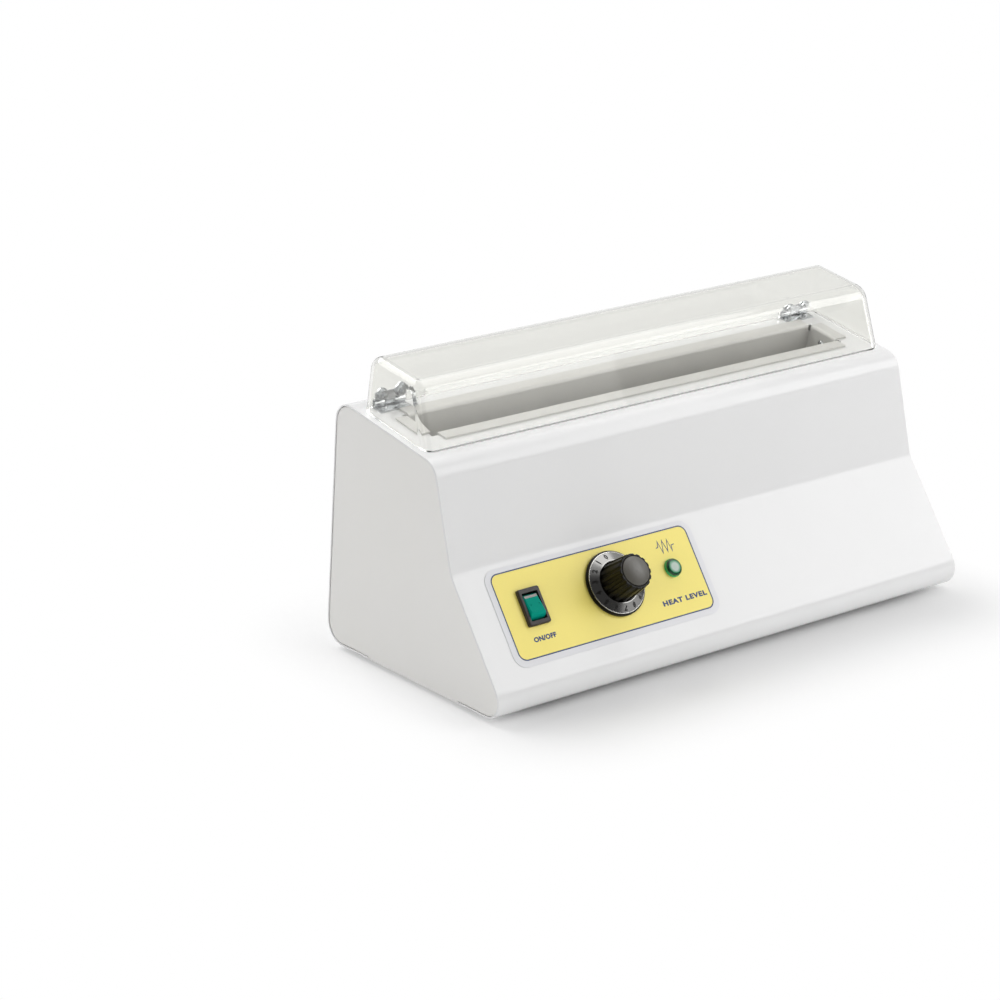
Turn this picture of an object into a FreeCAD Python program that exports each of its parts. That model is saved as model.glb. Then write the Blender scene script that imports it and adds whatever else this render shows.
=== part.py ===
import FreeCAD, Part
import math
import os
from FreeCAD import Placement, Rotation, Vector

# Heater for a row of roll-on wax cartridges: a wedge-shaped housing with a heated well in its
# sloped top, a clear hinged lid, and a control slope at the front with switch, knob and lamp.
# Everything is drawn from the housing's nose corner: X runs along the housing from its middle,
# Y from the nose to the back, Z up from the housing's underside. save() then moves each piece
# so that the origin lies on the table, under the middle of the whole heater. All sizes in mm.

# ---------------------------------------------------------------- driving dimensions
BODY_LENGTH = 330.0
FOOT_HEIGHT = 3.0
SHEET = 1.0                       # painted steel of the wrap
BASE_SHEET = 1.2

REAR_BOTTOM = (162.8, 0.0)        # (Y, Z) corners of the side profile, before rounding
REAR_TOP = (149.5, 141.1)
FRONT_TOP = (62.9, 125.4)
KNEE = (49.4, 69.0)
NOSE = (0.0, 0.0)
PROFILE = [REAR_BOTTOM, REAR_TOP, FRONT_TOP, KNEE, NOSE]
PROFILE_RADII = [12.5, 12.0, 12.0, 12.0, 10.5]

WRAP_EDGE_RADIUS = 0.4            # paint-rounded ends of the sheet
CAP_RECESS = 0.3                  # end panels lie this far inside the wrap's ends
CAP_WALL = 3.0
SEAM_WIDTH = 0.3                  # groove between end panel and wrap
SEAM_DEPTH = 0.8
SPIGOT_END = 152.0                # inner end of the panels' spigots, from the middle
SPIGOT_WALL = 2.0
RETURN_WIDTH = 24.0               # bottom returns of the wrap

WELL_LENGTH = 287.0               # five cartridges side by side
WELL_FRONT = 29.6                 # well, from the front top corner along the top slope
WELL_BACK = 51.9
WELL_MIDDLE = (WELL_FRONT + WELL_BACK) / 2
WELL_DEPTH = 100.0
TROUGH_SHEET = 1.2
FLANGE_WIDTH = 8.5
FLANGE_BEND = 2.0
CORNER_NOTCH = 0.7                # the flanges stop this far inside the well's corners
FOLD_DEPTH = 3.0                  # height of the bent rim above the box of the trough
MAT_THICKNESS = 1.5
MAT_SPAN = (-75.0, -12.0)         # heater mats, below the top surface
INSULATION_THICKNESS = 5.0
INSULATION_SPAN = (-78.0, -9.0)

LID_HALF_LENGTH = 161.8
LID_FRONT_BASE = (10.8, 0.3)      # (distance from the front top corner, height over the slope)
LID_FRONT_TOP = (27.0, 32.5)
LID_BACK_TOP = (70.5, 31.5)
LID_BACK_BASE = (69.0, 0.3)
LID_END_DRAFT = 0.045             # mm inwards per mm of height
LID_WALL = 1.8
LID_FRONT_ROLL = 10.0
LID_BACK_ROLL = 7.5
LID_END_ROLL = 6.0
LID_BACK_GAP = 0.8                # free height under the back wall

HINGE_NEAR = 134.5                # hinge ends, from the middle of the heater
HINGE_FAR = 154.5
HINGE_LEAF = 0.9
KNUCKLE_RADIUS = 2.1
HINGE_PIN_RADIUS = 0.95
KNUCKLE_SPLITS = (141.25, 147.75)
KNUCKLE_GAP = 0.15
HINGE_SCREW_XS = (138.7, 150.3)

LABEL_X = (-147.2, -6.9)
LABEL_T = (28.2, 82.4)            # from the nose corner up the control slope
LABEL_THICKNESS = 0.3
LABEL_CORNER = 7.5
CONTROL_T = 58.06
SWITCH_X = -124.4
KNOB_X = -69.3
LAMP_X = -28.7

BEZEL_SIZE = (14.2, 20.4)
BEZEL_TOP = 2.5
SWITCH_CUT = (13.0, 18.8)
SWITCH_BODY = (12.8, 18.6)
SWITCH_DEPTH = 14.0
ROCKER_POCKET = (10.4, 15.4)
ROCKER_WIDTH = 9.4
ROCKER_REACH = 7.3                # radius of the rocker's ends about its axis
ROCKER_RISE = 5.3                 # face above the axis
ROCKER_PIVOT = -2.0               # height of the rocker's axis
ROCKER_THROW = 13.0               # degrees either side of level

SHAFT_RADIUS = 3.0
RUNNING_CLEARANCE = 0.05
SKIRT_RADIUS = 17.3
KNOB_RIM_RADIUS = 18.2
KNOB_BOTTOM = 0.9
KNOB_SEAT = 2.6                   # top of the flared rim, where the skirt sits
KNOB_BASE_RADIUS = 11.7
KNOB_TOP_RADIUS = 9.9
KNOB_TOP = 21.8
CAP_RADIUS = 8.1
FLUTES = 16
FLUTE_RADIUS = 1.3

INLET_X = 105.0
INLET_HEIGHT = 50.0               # up the back face
WIRE = 2.2                        # wire diameters over the insulation
LAMP_LEAD = 1.6
MAT_LEAD = 1.2

# ---------------------------------------------------------------- plane geometry


def unit(a, b):
    length = math.hypot(b[0] - a[0], b[1] - a[1])
    return ((b[0] - a[0]) / length, (b[1] - a[1]) / length)


def rounded_wire(points, radii, place):
    """Closed outline through 2D points, each corner rounded; place() puts a 2D point in space."""
    starts, mids, ends = [], [], []
    count = len(points)
    for i, corner in enumerate(points):
        to_last = unit(corner, points[i - 1])
        to_next = unit(corner, points[(i + 1) % count])
        half = math.acos(to_last[0] * to_next[0] + to_last[1] * to_next[1]) / 2
        reach = radii[i] / math.tan(half)
        bisector = unit((0, 0), (to_last[0] + to_next[0], to_last[1] + to_next[1]))
        inside = radii[i] / math.sin(half) - radii[i]
        starts.append((corner[0] + to_last[0] * reach, corner[1] + to_last[1] * reach))
        mids.append((corner[0] + bisector[0] * inside, corner[1] + bisector[1] * inside))
        ends.append((corner[0] + to_next[0] * reach, corner[1] + to_next[1] * reach))
    edges = []
    for i in range(count):
        if radii[i] > 0:
            edges.append(Part.Arc(place(*starts[i]), place(*mids[i]), place(*ends[i])).toShape())
        after = starts[(i + 1) % count]
        edges.append(Part.LineSegment(place(*ends[i]), place(*after)).toShape())
    return Part.Wire(edges)


def inset(points, radii, distance):
    """Polygon moved inwards (points run anticlockwise), with its corner radii to match."""
    count = len(points)
    moved, rounder = [], []
    for i, corner in enumerate(points):
        before = unit(points[i - 1], corner)
        after = unit(corner, points[(i + 1) % count])
        turn = before[0] * after[1] - before[1] * after[0]
        lean = 1 + before[0] * after[0] + before[1] * after[1]
        shift = (-(before[1] + after[1]) / lean, (before[0] + after[0]) / lean)
        moved.append((corner[0] + shift[0] * distance, corner[1] + shift[1] * distance))
        grown = radii[i] - distance if turn > 0 else radii[i] + distance
        rounder.append(grown if radii[i] > 0 else 0)
    return moved, rounder


def prism_x(points, radii, x0, x1):
    """Outline in the YZ plane, extruded along X."""
    wire = rounded_wire(points, radii, lambda y, z: Vector(x0, y, z))
    return Part.Face(wire).extrude(Vector(x1 - x0, 0, 0))


def plate(x0, x1, y0, y1, z0, z1, corner=0.0):
    """Flat plate with rounded upright corners."""
    if corner == 0:
        return Part.makeBox(x1 - x0, y1 - y0, z1 - z0, Vector(x0, y0, z0))
    outline = [(x0, y0), (x1, y0), (x1, y1), (x0, y1)]
    wire = rounded_wire(outline, [corner] * 4, lambda x, y: Vector(x, y, z0))
    return Part.Face(wire).extrude(Vector(0, 0, z1 - z0))


def centred(x, y, size, z0, z1, corner=0.0):
    return plate(x - size[0] / 2, x + size[0] / 2, y - size[1] / 2, y + size[1] / 2, z0, z1, corner)


def rod(x, y, z0, z1, radius):
    return Part.makeCylinder(radius, z1 - z0, Vector(x, y, z0))


def bar(x0, x1, y, z, radius):
    return Part.makeCylinder(radius, x1 - x0, Vector(x0, y, z), Vector(1, 0, 0))


def turned(x, y, points):
    """Solid of revolution about an upright axis, from (radius, height) points."""
    outline = [Vector(x + r, y, h) for r, h in points]
    face = Part.Face(Part.makePolygon(outline + outline[:1]))
    return face.revolve(Vector(x, y, 0), Vector(0, 0, 1), 360)


def hexagon(x, y, z0, z1, across_flats):
    corner = across_flats / math.sqrt(3)
    angles = [math.radians(60 * i) for i in range(7)]
    outline = [Vector(x + corner * math.cos(a), y + corner * math.sin(a), z0) for a in angles]
    return Part.Face(Part.makePolygon(outline)).extrude(Vector(0, 0, z1 - z0))


def tube(points, diameter):
    """Wire or capillary: straight runs joined by arcs as large as the runs allow."""
    points = [Vector(*p) for p in points]
    edges = []
    last = points[0]
    for before, corner, after in zip(points, points[1:], points[2:]):
        back = (before - corner).normalize()
        on = (after - corner).normalize()
        half = back.getAngle(on) / 2
        reach = 0.45 * min(corner.distanceToPoint(before), corner.distanceToPoint(after))
        radius = reach * math.tan(half)
        middle = (back + on).normalize() * (radius / math.sin(half) - radius)
        start, end = corner + back * reach, corner + on * reach
        edges.append(Part.LineSegment(last, start).toShape())
        edges.append(Part.Arc(start, corner + middle, end).toShape())
        last = end
    edges.append(Part.LineSegment(last, points[-1]).toShape())
    path = Part.Wire(edges)
    ring = Part.Wire(Part.makeCircle(diameter / 2, points[0], points[1] - points[0]))
    return path.makePipeShell([ring], True, True)


def fuse(shapes):
    return shapes[0].multiFuse(shapes[1:]).removeSplitter()


def cut(shape, tools):
    return shape.cut(tools)


def group(shapes):
    """Identical small pieces that share one node, still separate solids."""
    return Part.Compound(shapes)


# ---------------------------------------------------------------- frames on the sloped faces


def slope_frame(start, end, x_sign=1):
    """Frame on a sloped face: local Y from start to end, local Z out of the housing."""
    x_axis = Vector(x_sign, 0, 0)
    rise = unit(start, end)
    y_axis = Vector(0, rise[0], rise[1])
    rotation = Rotation(x_axis, y_axis, x_axis.cross(y_axis), "XYZ")
    return Placement(Vector(0, start[0], start[1]), rotation)


TOP = slope_frame(FRONT_TOP, REAR_TOP)
PANEL = slope_frame(NOSE, KNEE)
BACK = slope_frame(REAR_BOTTOM, REAR_TOP, -1)

LID_BACK_LEAN = math.degrees(math.atan2(LID_BACK_TOP[0] - LID_BACK_BASE[0],
                                        LID_BACK_TOP[1] - LID_BACK_BASE[1]))
HINGE_Z = KNUCKLE_RADIUS + 0.3
HINGE_WALL_FACE = KNUCKLE_RADIUS - HINGE_LEAF      # pin to the inner face of the lid's back
HINGE_Y = (LID_BACK_BASE[0] + (HINGE_Z - LID_BACK_BASE[1]) * math.tan(math.radians(LID_BACK_LEAN))
           - (LID_WALL - HINGE_WALL_FACE) / math.cos(math.radians(LID_BACK_LEAN)))
HINGE = TOP.multiply(Placement(Vector(0, HINGE_Y, HINGE_Z),
                               Rotation(Vector(1, 0, 0), -LID_BACK_LEAN)))


def placed(shape, frame):
    moved = shape.copy()
    moved.Placement = frame.multiply(moved.Placement)
    return moved


PROFILE_BOX = rounded_wire(PROFILE, PROFILE_RADII, lambda y, z: Vector(0, y, z)).BoundBox
ORIGIN_SHIFT = Vector(0, -(PROFILE_BOX.YMin + PROFILE_BOX.YMax) / 2, FOOT_HEIGHT)


def save(name, shape):
    moved = shape.copy()
    moved.translate(ORIGIN_SHIFT)
    moved.exportStep("parts/" + name + ".step")


# ---------------------------------------------------------------- fasteners


def pan_screw(x, y, seat, head_radius, head_height, shank_radius, length):
    """Screw seated on a face at height seat, head above it, shank below."""
    head = rod(x, y, seat, seat + head_height, head_radius)
    rim = [e for e in head.Edges if e.BoundBox.ZMin > seat + head_height / 2 and e.BoundBox.XLength > 1]
    head = head.makeFillet(head_height * 0.45, rim)
    slot = plate(x - head_radius, x + head_radius, y - 0.3, y + 0.3,
                 seat + head_height * 0.6, seat + head_height + 1)
    return fuse([head.cut(slot), rod(x, y, seat - length, seat, shank_radius)])


def countersunk_screw(x, y, seat, head_radius, shank_radius, length, grow=0.0):
    """Screw whose flat head is level with height seat; grow makes the hole for it."""
    sink = head_radius - shank_radius
    points = [(0, seat - length), (shank_radius + grow, seat - length),
              (shank_radius + grow, seat - sink), (head_radius + grow, seat), (0, seat)]
    return turned(x, y, points)


def upside_down(shape):
    return placed(shape, Placement(Vector(0, 0, 0), Rotation(Vector(1, 0, 0), 180)))


HALF = BODY_LENGTH / 2
FRONT_FLAT = PROFILE_RADII[4] / math.tan(math.atan2(KNEE[1], KNEE[0]) / 2)
REAR_FLAT = REAR_BOTTOM[0] - PROFILE_RADII[0] * 1.1
SCREW_ROWS = (FRONT_FLAT + RETURN_WIDTH / 2, REAR_FLAT - RETURN_WIDTH / 2)
BASE_TOP = SHEET + BASE_SHEET
BASE_SCREW_XS = (-105.0, 0.0, 105.0)
FOOT_X = 135.0
FOOT_SEAT = -1.0                  # seat of the screw's head in the foot
CAP_SCREW_X = 155.0
SUPPORT_FOOT_X = 134.0
SUPPORT_Y = (113.3, 126.6)
FEET = {
    "foot_front_left": (-FOOT_X, SCREW_ROWS[0]),
    "foot_front_right": (FOOT_X, SCREW_ROWS[0]),
    "foot_back_left": (-FOOT_X, SCREW_ROWS[1]),
    "foot_back_right": (FOOT_X, SCREW_ROWS[1]),
}
THERMOSTAT_SCREW_TS = (CONTROL_T - 14.0, CONTROL_T + 14.0)
INLET_SCREW_XS = (-INLET_X - 20.0, -INLET_X + 20.0)
BASE_LEAF_SCREW_Y = 63.9

# ---------------------------------------------------------------- housing


def profile_prism(distance, x0, x1):
    points, radii = inset(PROFILE, PROFILE_RADII, distance)
    return prism_x(points, radii, x0, x1)


def bottom_holes(xs, radius):
    return [rod(x, y, -1, BASE_TOP + 1, radius) for x in xs for y in SCREW_ROWS]


def housing_wrap():
    """Folded sheet: back, top, upper front and control slope, open at the bottom and ends."""
    form = profile_prism(0, -HALF, HALF)
    rims = [e for e in form.Edges if e.BoundBox.XLength < 0.01]
    shell = form.makeFillet(WRAP_EDGE_RADIUS, rims).cut(profile_prism(SHEET, -HALF - 1, HALF + 1))
    tools = [plate(-HALF, HALF, FRONT_FLAT + RETURN_WIDTH, REAR_FLAT - RETURN_WIDTH, -1, SHEET + 1)]
    tools += bottom_holes(BASE_SCREW_XS, 1.6)
    tools += bottom_holes((-FOOT_X, FOOT_X, -CAP_SCREW_X, CAP_SCREW_X), 1.6)
    margin = TROUGH_SHEET + 1.2
    well = (WELL_LENGTH + 2 * margin, WELL_BACK - WELL_FRONT + 2 * margin)
    tools.append(placed(centred(0, WELL_MIDDLE, well, -4, 4), TOP))
    for x in hinge_screw_xs():
        tools.append(placed(rod(x, BASE_LEAF_SCREW_Y, -4, 4, 1.1), TOP))
    panel_cuts = [centred(SWITCH_X, CONTROL_T, SWITCH_CUT, -4, 4), rod(KNOB_X, CONTROL_T, -4, 4, 4.8)]
    panel_cuts.append(rod(LAMP_X, CONTROL_T, -4, 4, 3.9))
    panel_cuts += [countersunk_screw(KNOB_X, t, LABEL_THICKNESS, 3.6, 2.0, 5, 0.1)
                   for t in THERMOSTAT_SCREW_TS]
    tools += [placed(shape, PANEL) for shape in panel_cuts]
    inlet_cuts = [centred(-INLET_X, INLET_HEIGHT, (27.4, 20.4), -4, 4)]
    inlet_cuts += [rod(x, INLET_HEIGHT, -4, 4, 1.6) for x in INLET_SCREW_XS]
    tools += [placed(shape, BACK) for shape in inlet_cuts]
    return cut(shell, tools)


def end_cap(side):
    """Moulded end panel: lies inside the wrap's end, with a seam groove round its face and a spigot."""
    face = profile_prism(SHEET + SEAM_WIDTH, HALF - CAP_RECESS - SEAM_DEPTH, HALF - CAP_RECESS)
    lip = plate(HALF - CAP_RECESS - SEAM_DEPTH, HALF - CAP_RECESS, FRONT_FLAT + RETURN_WIDTH + SEAM_WIDTH,
                REAR_FLAT - RETURN_WIDTH - SEAM_WIDTH, 0, 3)
    face = fuse([face, lip])
    rim = [e for e in face.Edges if e.BoundBox.XMin > HALF - CAP_RECESS - 0.01]
    face = face.makeFillet(0.4, rim)
    spigot = profile_prism(SHEET + 0.1, SPIGOT_END, HALF - CAP_RECESS - SEAM_DEPTH)
    sill = plate(SPIGOT_END, HALF - CAP_RECESS - SEAM_DEPTH, FRONT_FLAT + RETURN_WIDTH + SEAM_WIDTH,
                 REAR_FLAT - RETURN_WIDTH - SEAM_WIDTH, 0, 3)
    hollow = profile_prism(SHEET + 0.1 + SPIGOT_WALL, SPIGOT_END - 1, HALF - CAP_RECESS - CAP_WALL)
    cap = fuse([face, spigot, sill]).cut(hollow)
    cap = cut(cap, bottom_holes((CAP_SCREW_X,), 1.6))
    if side < 0:
        cap = cap.mirror(Vector(0, 0, 0), Vector(1, 0, 0))
    return cap


def base_plate():
    """Bottom sheet on the wrap's returns, with two rows of vent slots."""
    base = plate(-148.0, 148.0, FRONT_FLAT + 0.6, REAR_FLAT - 0.6, SHEET, BASE_TOP, 3.0)
    tools = bottom_holes(BASE_SCREW_XS + (-FOOT_X, FOOT_X), 1.6)
    for x in range(-112, 113, 16):
        for y in (52.0, 96.0):
            tools.append(plate(x - 1.5, x + 1.5, y, y + 24.0, SHEET - 1, BASE_TOP + 1, 1.4))
    tools += [rod(x, sum(SUPPORT_Y) / 2, -1, BASE_TOP + 1, 1.6) for x in (-SUPPORT_FOOT_X, SUPPORT_FOOT_X)]
    return cut(base, tools)


def bottom_screw(x, y, seat, length):
    """Pan-head screw driven upwards, seated on a face at height seat."""
    return upside_down(pan_screw(x, -y, -seat, 2.8, 1.8, 1.5, length))


def base_screws():
    screws = [bottom_screw(x, y, 0.0, 6.0) for x in BASE_SCREW_XS for y in SCREW_ROWS]
    middle = sum(SUPPORT_Y) / 2
    screws += [bottom_screw(x, middle, SHEET, 5.0) for x in (-SUPPORT_FOOT_X, SUPPORT_FOOT_X)]
    return group(screws)


def cap_screws():
    return group([bottom_screw(x, y, 0.0, 6.0) for x in (-CAP_SCREW_X, CAP_SCREW_X) for y in SCREW_ROWS])


def foot(x, y):
    """Rubber foot with a counterbore for its screw."""
    body = Part.makeCone(6.6, 7.0, FOOT_HEIGHT, Vector(x, y, -FOOT_HEIGHT))
    rim = [e for e in body.Edges if e.BoundBox.ZMax < -FOOT_HEIGHT + 0.01]
    body = body.makeFillet(0.6, rim)
    return cut(body, [rod(x, y, -FOOT_HEIGHT - 1, 1, 1.7), rod(x, y, -FOOT_HEIGHT - 1, FOOT_SEAT, 3.4)])


def foot_screws():
    return group([bottom_screw(x, y, FOOT_SEAT, 7.0) for x, y in FEET.values()])


# ---------------------------------------------------------------- heating well

RIVET_DROP = -6.5
TROUGH_UNDER = -WELL_DEPTH - TROUGH_SHEET


def rim_strip(length):
    """Wall top bent outwards into a flange: wall face at Y 0, flange towards -Y, along X."""
    t = TROUGH_SHEET
    outline = [(0, t), (-FLANGE_WIDTH, t), (-FLANGE_WIDTH, 0), (-t, 0), (-t, -FOLD_DEPTH), (0, -FOLD_DEPTH)]
    radii = [FLANGE_BEND, 0.3, 0.3, FLANGE_BEND - t, 0, 0]
    return prism_x(outline, radii, -length / 2, length / 2)


def cartridge_trough():
    """Folded tray that hangs from its four flanges; the flange corners are open."""
    half = WELL_LENGTH / 2
    t = TROUGH_SHEET
    tray = plate(-half - t, half + t, WELL_FRONT - t, WELL_BACK + t, TROUGH_UNDER, -FOLD_DEPTH)
    tray = tray.cut(plate(-half, half, WELL_FRONT, WELL_BACK, -WELL_DEPTH, 1))
    tools = [bar(x - 3, x + 3, WELL_MIDDLE, RIVET_DROP, 1.3) for x in (-half, half)]
    tray = cut(tray, tools)
    length, width = WELL_LENGTH - 2 * CORNER_NOTCH, WELL_BACK - WELL_FRONT - 2 * CORNER_NOTCH
    seats = [(length, Vector(0, WELL_FRONT, 0), 0), (length, Vector(0, WELL_BACK, 0), 180),
             (width, Vector(-half, WELL_MIDDLE, 0), -90), (width, Vector(half, WELL_MIDDLE, 0), 90)]
    strips = [placed(rim_strip(size), Placement(spot, Rotation(Vector(0, 0, 1), turn)))
              for size, spot, turn in seats]
    return placed(fuse([tray] + strips), TOP)


def trough_rivets():
    """Dome-headed rivets that tie the trough's end walls to the supports."""
    inner = WELL_LENGTH / 2
    outer = inner + TROUGH_SHEET + SHEET
    rivets = []
    for side in (-1, 1):
        profile = [(0, -1.1), (1.2, -0.9), (2.1, -0.35), (2.2, 0), (1.25, 0), (1.25, outer - inner),
                   (2.0, outer - inner), (2.0, outer - inner + 0.8), (0, outer - inner + 0.8)]
        rivet = turned(0, 0, profile)
        facing = Rotation(Vector(0, 1, 0), 90 * side)
        rivets.append(placed(rivet, Placement(Vector(side * inner, WELL_MIDDLE, RIVET_DROP), facing)))
    return placed(group(rivets), TOP)


def trough_support(side):
    """Bracket from the trough's end wall down to the base plate."""
    near = WELL_LENGTH / 2 + TROUGH_SHEET
    strip = plate(near, near + SHEET, 34.0, 47.5, -96.0, -2.4, 0)
    strip = placed(strip, TOP)
    leg = plate(near, near + SHEET, SUPPORT_Y[0], SUPPORT_Y[1], BASE_TOP, 41.0)
    sole = plate(near - 20.0, near + SHEET, SUPPORT_Y[0], SUPPORT_Y[1], BASE_TOP, BASE_TOP + SHEET)
    bracket = fuse([strip, leg, sole])
    rivet_hole = placed(bar(near - 3, near + 5, WELL_MIDDLE, RIVET_DROP, 1.3), TOP)
    screw_hole = rod(SUPPORT_FOOT_X, sum(SUPPORT_Y) / 2, 0, 12, 1.6)
    bracket = cut(bracket, [rivet_hole, screw_hole])
    if side < 0:
        bracket = bracket.mirror(Vector(0, 0, 0), Vector(1, 0, 0))
    return bracket


def side_board(span, thickness, gap, front):
    """Board along a long wall of the trough: a heater mat or an insulation board."""
    if front:
        y1 = WELL_FRONT - TROUGH_SHEET - gap
        y0 = y1 - thickness
    else:
        y0 = WELL_BACK + TROUGH_SHEET + gap
        y1 = y0 + thickness
    return placed(plate(-130.0, 130.0, y0, y1, span[0], span[1]), TOP)


CUTOUT_X = 60.0
CUTOUT_TABS = (CUTOUT_X - 4.0, CUTOUT_X + 4.0)
CUTOUT_TAB_END = TROUGH_UNDER - 12.0


def thermal_cutout():
    """Bimetal disc cut-out clamped under the trough, with two tabs."""
    body = rod(CUTOUT_X, WELL_MIDDLE, TROUGH_UNDER - 7.0, TROUGH_UNDER, 8.0)
    ears = centred(CUTOUT_X, WELL_MIDDLE, (30.0, 8.0), TROUGH_UNDER - 0.8, TROUGH_UNDER, 3.0)
    tabs = [centred(x, WELL_MIDDLE, (0.8, 4.8), CUTOUT_TAB_END, TROUGH_UNDER - 6.5) for x in CUTOUT_TABS]
    return placed(fuse([body, ears] + tabs), TOP)


BULB_RADIUS = 3.0
BULB_X = (-122.0, -50.0)
BULB_Z = TROUGH_UNDER - BULB_RADIUS


def thermostat_bulb():
    body = bar(BULB_X[0], BULB_X[1], WELL_MIDDLE, BULB_Z, BULB_RADIUS)
    rim = [e for e in body.Edges if e.BoundBox.XLength < 0.01]
    return placed(body.makeFillet(1.2, rim), TOP)


def bulb_clips():
    """Straps that hold the bulb against the underside of the trough."""
    clips = []
    inner, outer = BULB_RADIUS + 0.1, BULB_RADIUS + 0.9
    mid = WELL_MIDDLE
    for x in (-110.0, -66.0):
        hoop = bar(x, x + 8, mid, BULB_Z, outer)
        sides = plate(x, x + 8, mid - outer, mid + outer, BULB_Z, TROUGH_UNDER)
        ears = plate(x, x + 8, mid - 9, mid + 9, TROUGH_UNDER - 0.8, TROUGH_UNDER)
        way = plate(x - 1, x + 9, mid - inner, mid + inner, BULB_Z, TROUGH_UNDER + 1)
        clips.append(cut(fuse([hoop, sides, ears]), [bar(x - 1, x + 9, mid, BULB_Z, inner), way]))
    return placed(group(clips), TOP)


# ---------------------------------------------------------------- lid and hinges


def lid_form(offset, bottom):
    """The lid's drafted, rolled box, moved inwards by offset and cut off at height bottom."""

    def at_height(base, top, height):
        share = (height - base[1]) / (top[1] - base[1])
        return (base[0] + (top[0] - base[0]) * share, height)

    low, high, reach = -12.0, 50.0, HALF + 10
    section = [at_height(LID_FRONT_BASE, LID_FRONT_TOP, low), at_height(LID_BACK_BASE, LID_BACK_TOP, low),
               LID_BACK_TOP, LID_FRONT_TOP]
    points, radii = inset(section, [0, 0, LID_BACK_ROLL, LID_FRONT_ROLL], offset)
    long_form = prism_x(points, radii, -reach, reach)
    ends = [(side * (LID_HALF_LENGTH - offset - LID_END_DRAFT * (z - LID_FRONT_BASE[1])), z)
            for side, z in ((-1, low), (1, low), (1, high), (-1, high))]
    wire = Part.makePolygon([Vector(x, 0, z) for x, z in ends + ends[:1]])
    form = long_form.common(Part.Face(wire).extrude(Vector(0, 100, 0)))
    rims = [e for e in form.Edges if min(abs(e.BoundBox.XMin), abs(e.BoundBox.XMax)) > 100
            and e.BoundBox.XLength < 30 and e.BoundBox.ZMax > low + offset + 0.01]
    form = form.makeFillet(LID_END_ROLL - offset, rims)
    return form.cut(plate(-reach, reach, -20, 110, low - 20, bottom))


def clear_lid():
    """Clear lid: drafted walls, rolled edges, notches in the back wall for the knuckles."""
    lid = placed(lid_form(0, LID_FRONT_BASE[1]).cut(lid_form(LID_WALL, -11.0)), TOP)
    tools = [placed(plate(-HALF, HALF, HINGE_Y - 3.5, HINGE_Y + 8, -2, LID_BACK_GAP), TOP)]
    for side in (-1, 1):
        x0, x1 = sorted((side * (HINGE_NEAR - 1), side * (HINGE_FAR + 1)))
        tools.append(placed(plate(x0, x1, -2.4, 5, -6, KNUCKLE_RADIUS + 0.8), HINGE))
    tools += [placed(shape, HINGE) for shape in lid_screw_shapes(0.1)]
    return cut(lid, tools)


def hinge_screw_xs():
    return [side * x for side in (-1, 1) for x in HINGE_SCREW_XS]


LID_SCREW_Z = 5.4


def lid_screw_shapes(grow=0.0):
    """Countersunk screws from outside the lid's back wall, through the hinge leaves."""
    outside = LID_WALL - HINGE_WALL_FACE
    turn = Placement(Vector(0, outside, LID_SCREW_Z), Rotation(Vector(1, 0, 0), -90))
    return [placed(countersunk_screw(x, 0, 0, 2.3, 1.2, 6.2, grow), turn) for x in hinge_screw_xs()]


def lid_hinge_nuts():
    """Nuts on the inner side of the lid leaves."""
    nuts = []
    for x in hinge_screw_xs():
        nut = hexagon(0, 0, 0, 1.9, 5.0).cut(rod(0, 0, -1, 3, 1.25))
        seat = Placement(Vector(x, -KNUCKLE_RADIUS, LID_SCREW_Z), Rotation(Vector(1, 0, 0), 90))
        nuts.append(placed(nut, seat))
    return placed(group(nuts), HINGE)


def knuckles(ranges, bore):
    """Rolled barrels about the pin, for the given stretches of X."""
    return [bar(x0, x1, 0, 0, KNUCKLE_RADIUS).cut(bar(x0 - 1, x1 + 1, 0, 0, bore)) for x0, x1 in ranges]


def lid_leaf(side):
    """Hinge leaf on the inner face of the lid's back wall: scalloped top edge, middle knuckle."""
    x0, x1 = KNUCKLE_SPLITS[0] + KNUCKLE_GAP, KNUCKLE_SPLITS[1] - KNUCKLE_GAP
    front, back = -KNUCKLE_RADIUS, -HINGE_WALL_FACE
    shapes = [plate(x0, x1, front, back, 0, 4.0)]
    shapes.append(plate(HINGE_NEAR, HINGE_FAR, front, back, KNUCKLE_RADIUS + 0.7, 6.6))
    shapes += [Part.makeCylinder(3.5, HINGE_LEAF, Vector(x, front, LID_SCREW_Z), Vector(0, 1, 0))
               for x in HINGE_SCREW_XS]
    bore = HINGE_PIN_RADIUS + RUNNING_CLEARANCE
    leaf = fuse(shapes).cut(bar(x0 - 1, x1 + 1, 0, 0, bore))
    leaf = fuse([leaf] + knuckles([(x0, x1)], bore))
    across = Placement(Vector(0, 0, LID_SCREW_Z), Rotation(Vector(1, 0, 0), -90))
    holes = [placed(rod(x, 0, -8, 8, 1.3), across) for x in HINGE_SCREW_XS]
    leaf = cut(leaf, holes)
    if side < 0:
        leaf = leaf.mirror(Vector(0, 0, 0), Vector(1, 0, 0))
    return placed(leaf, HINGE)


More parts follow.
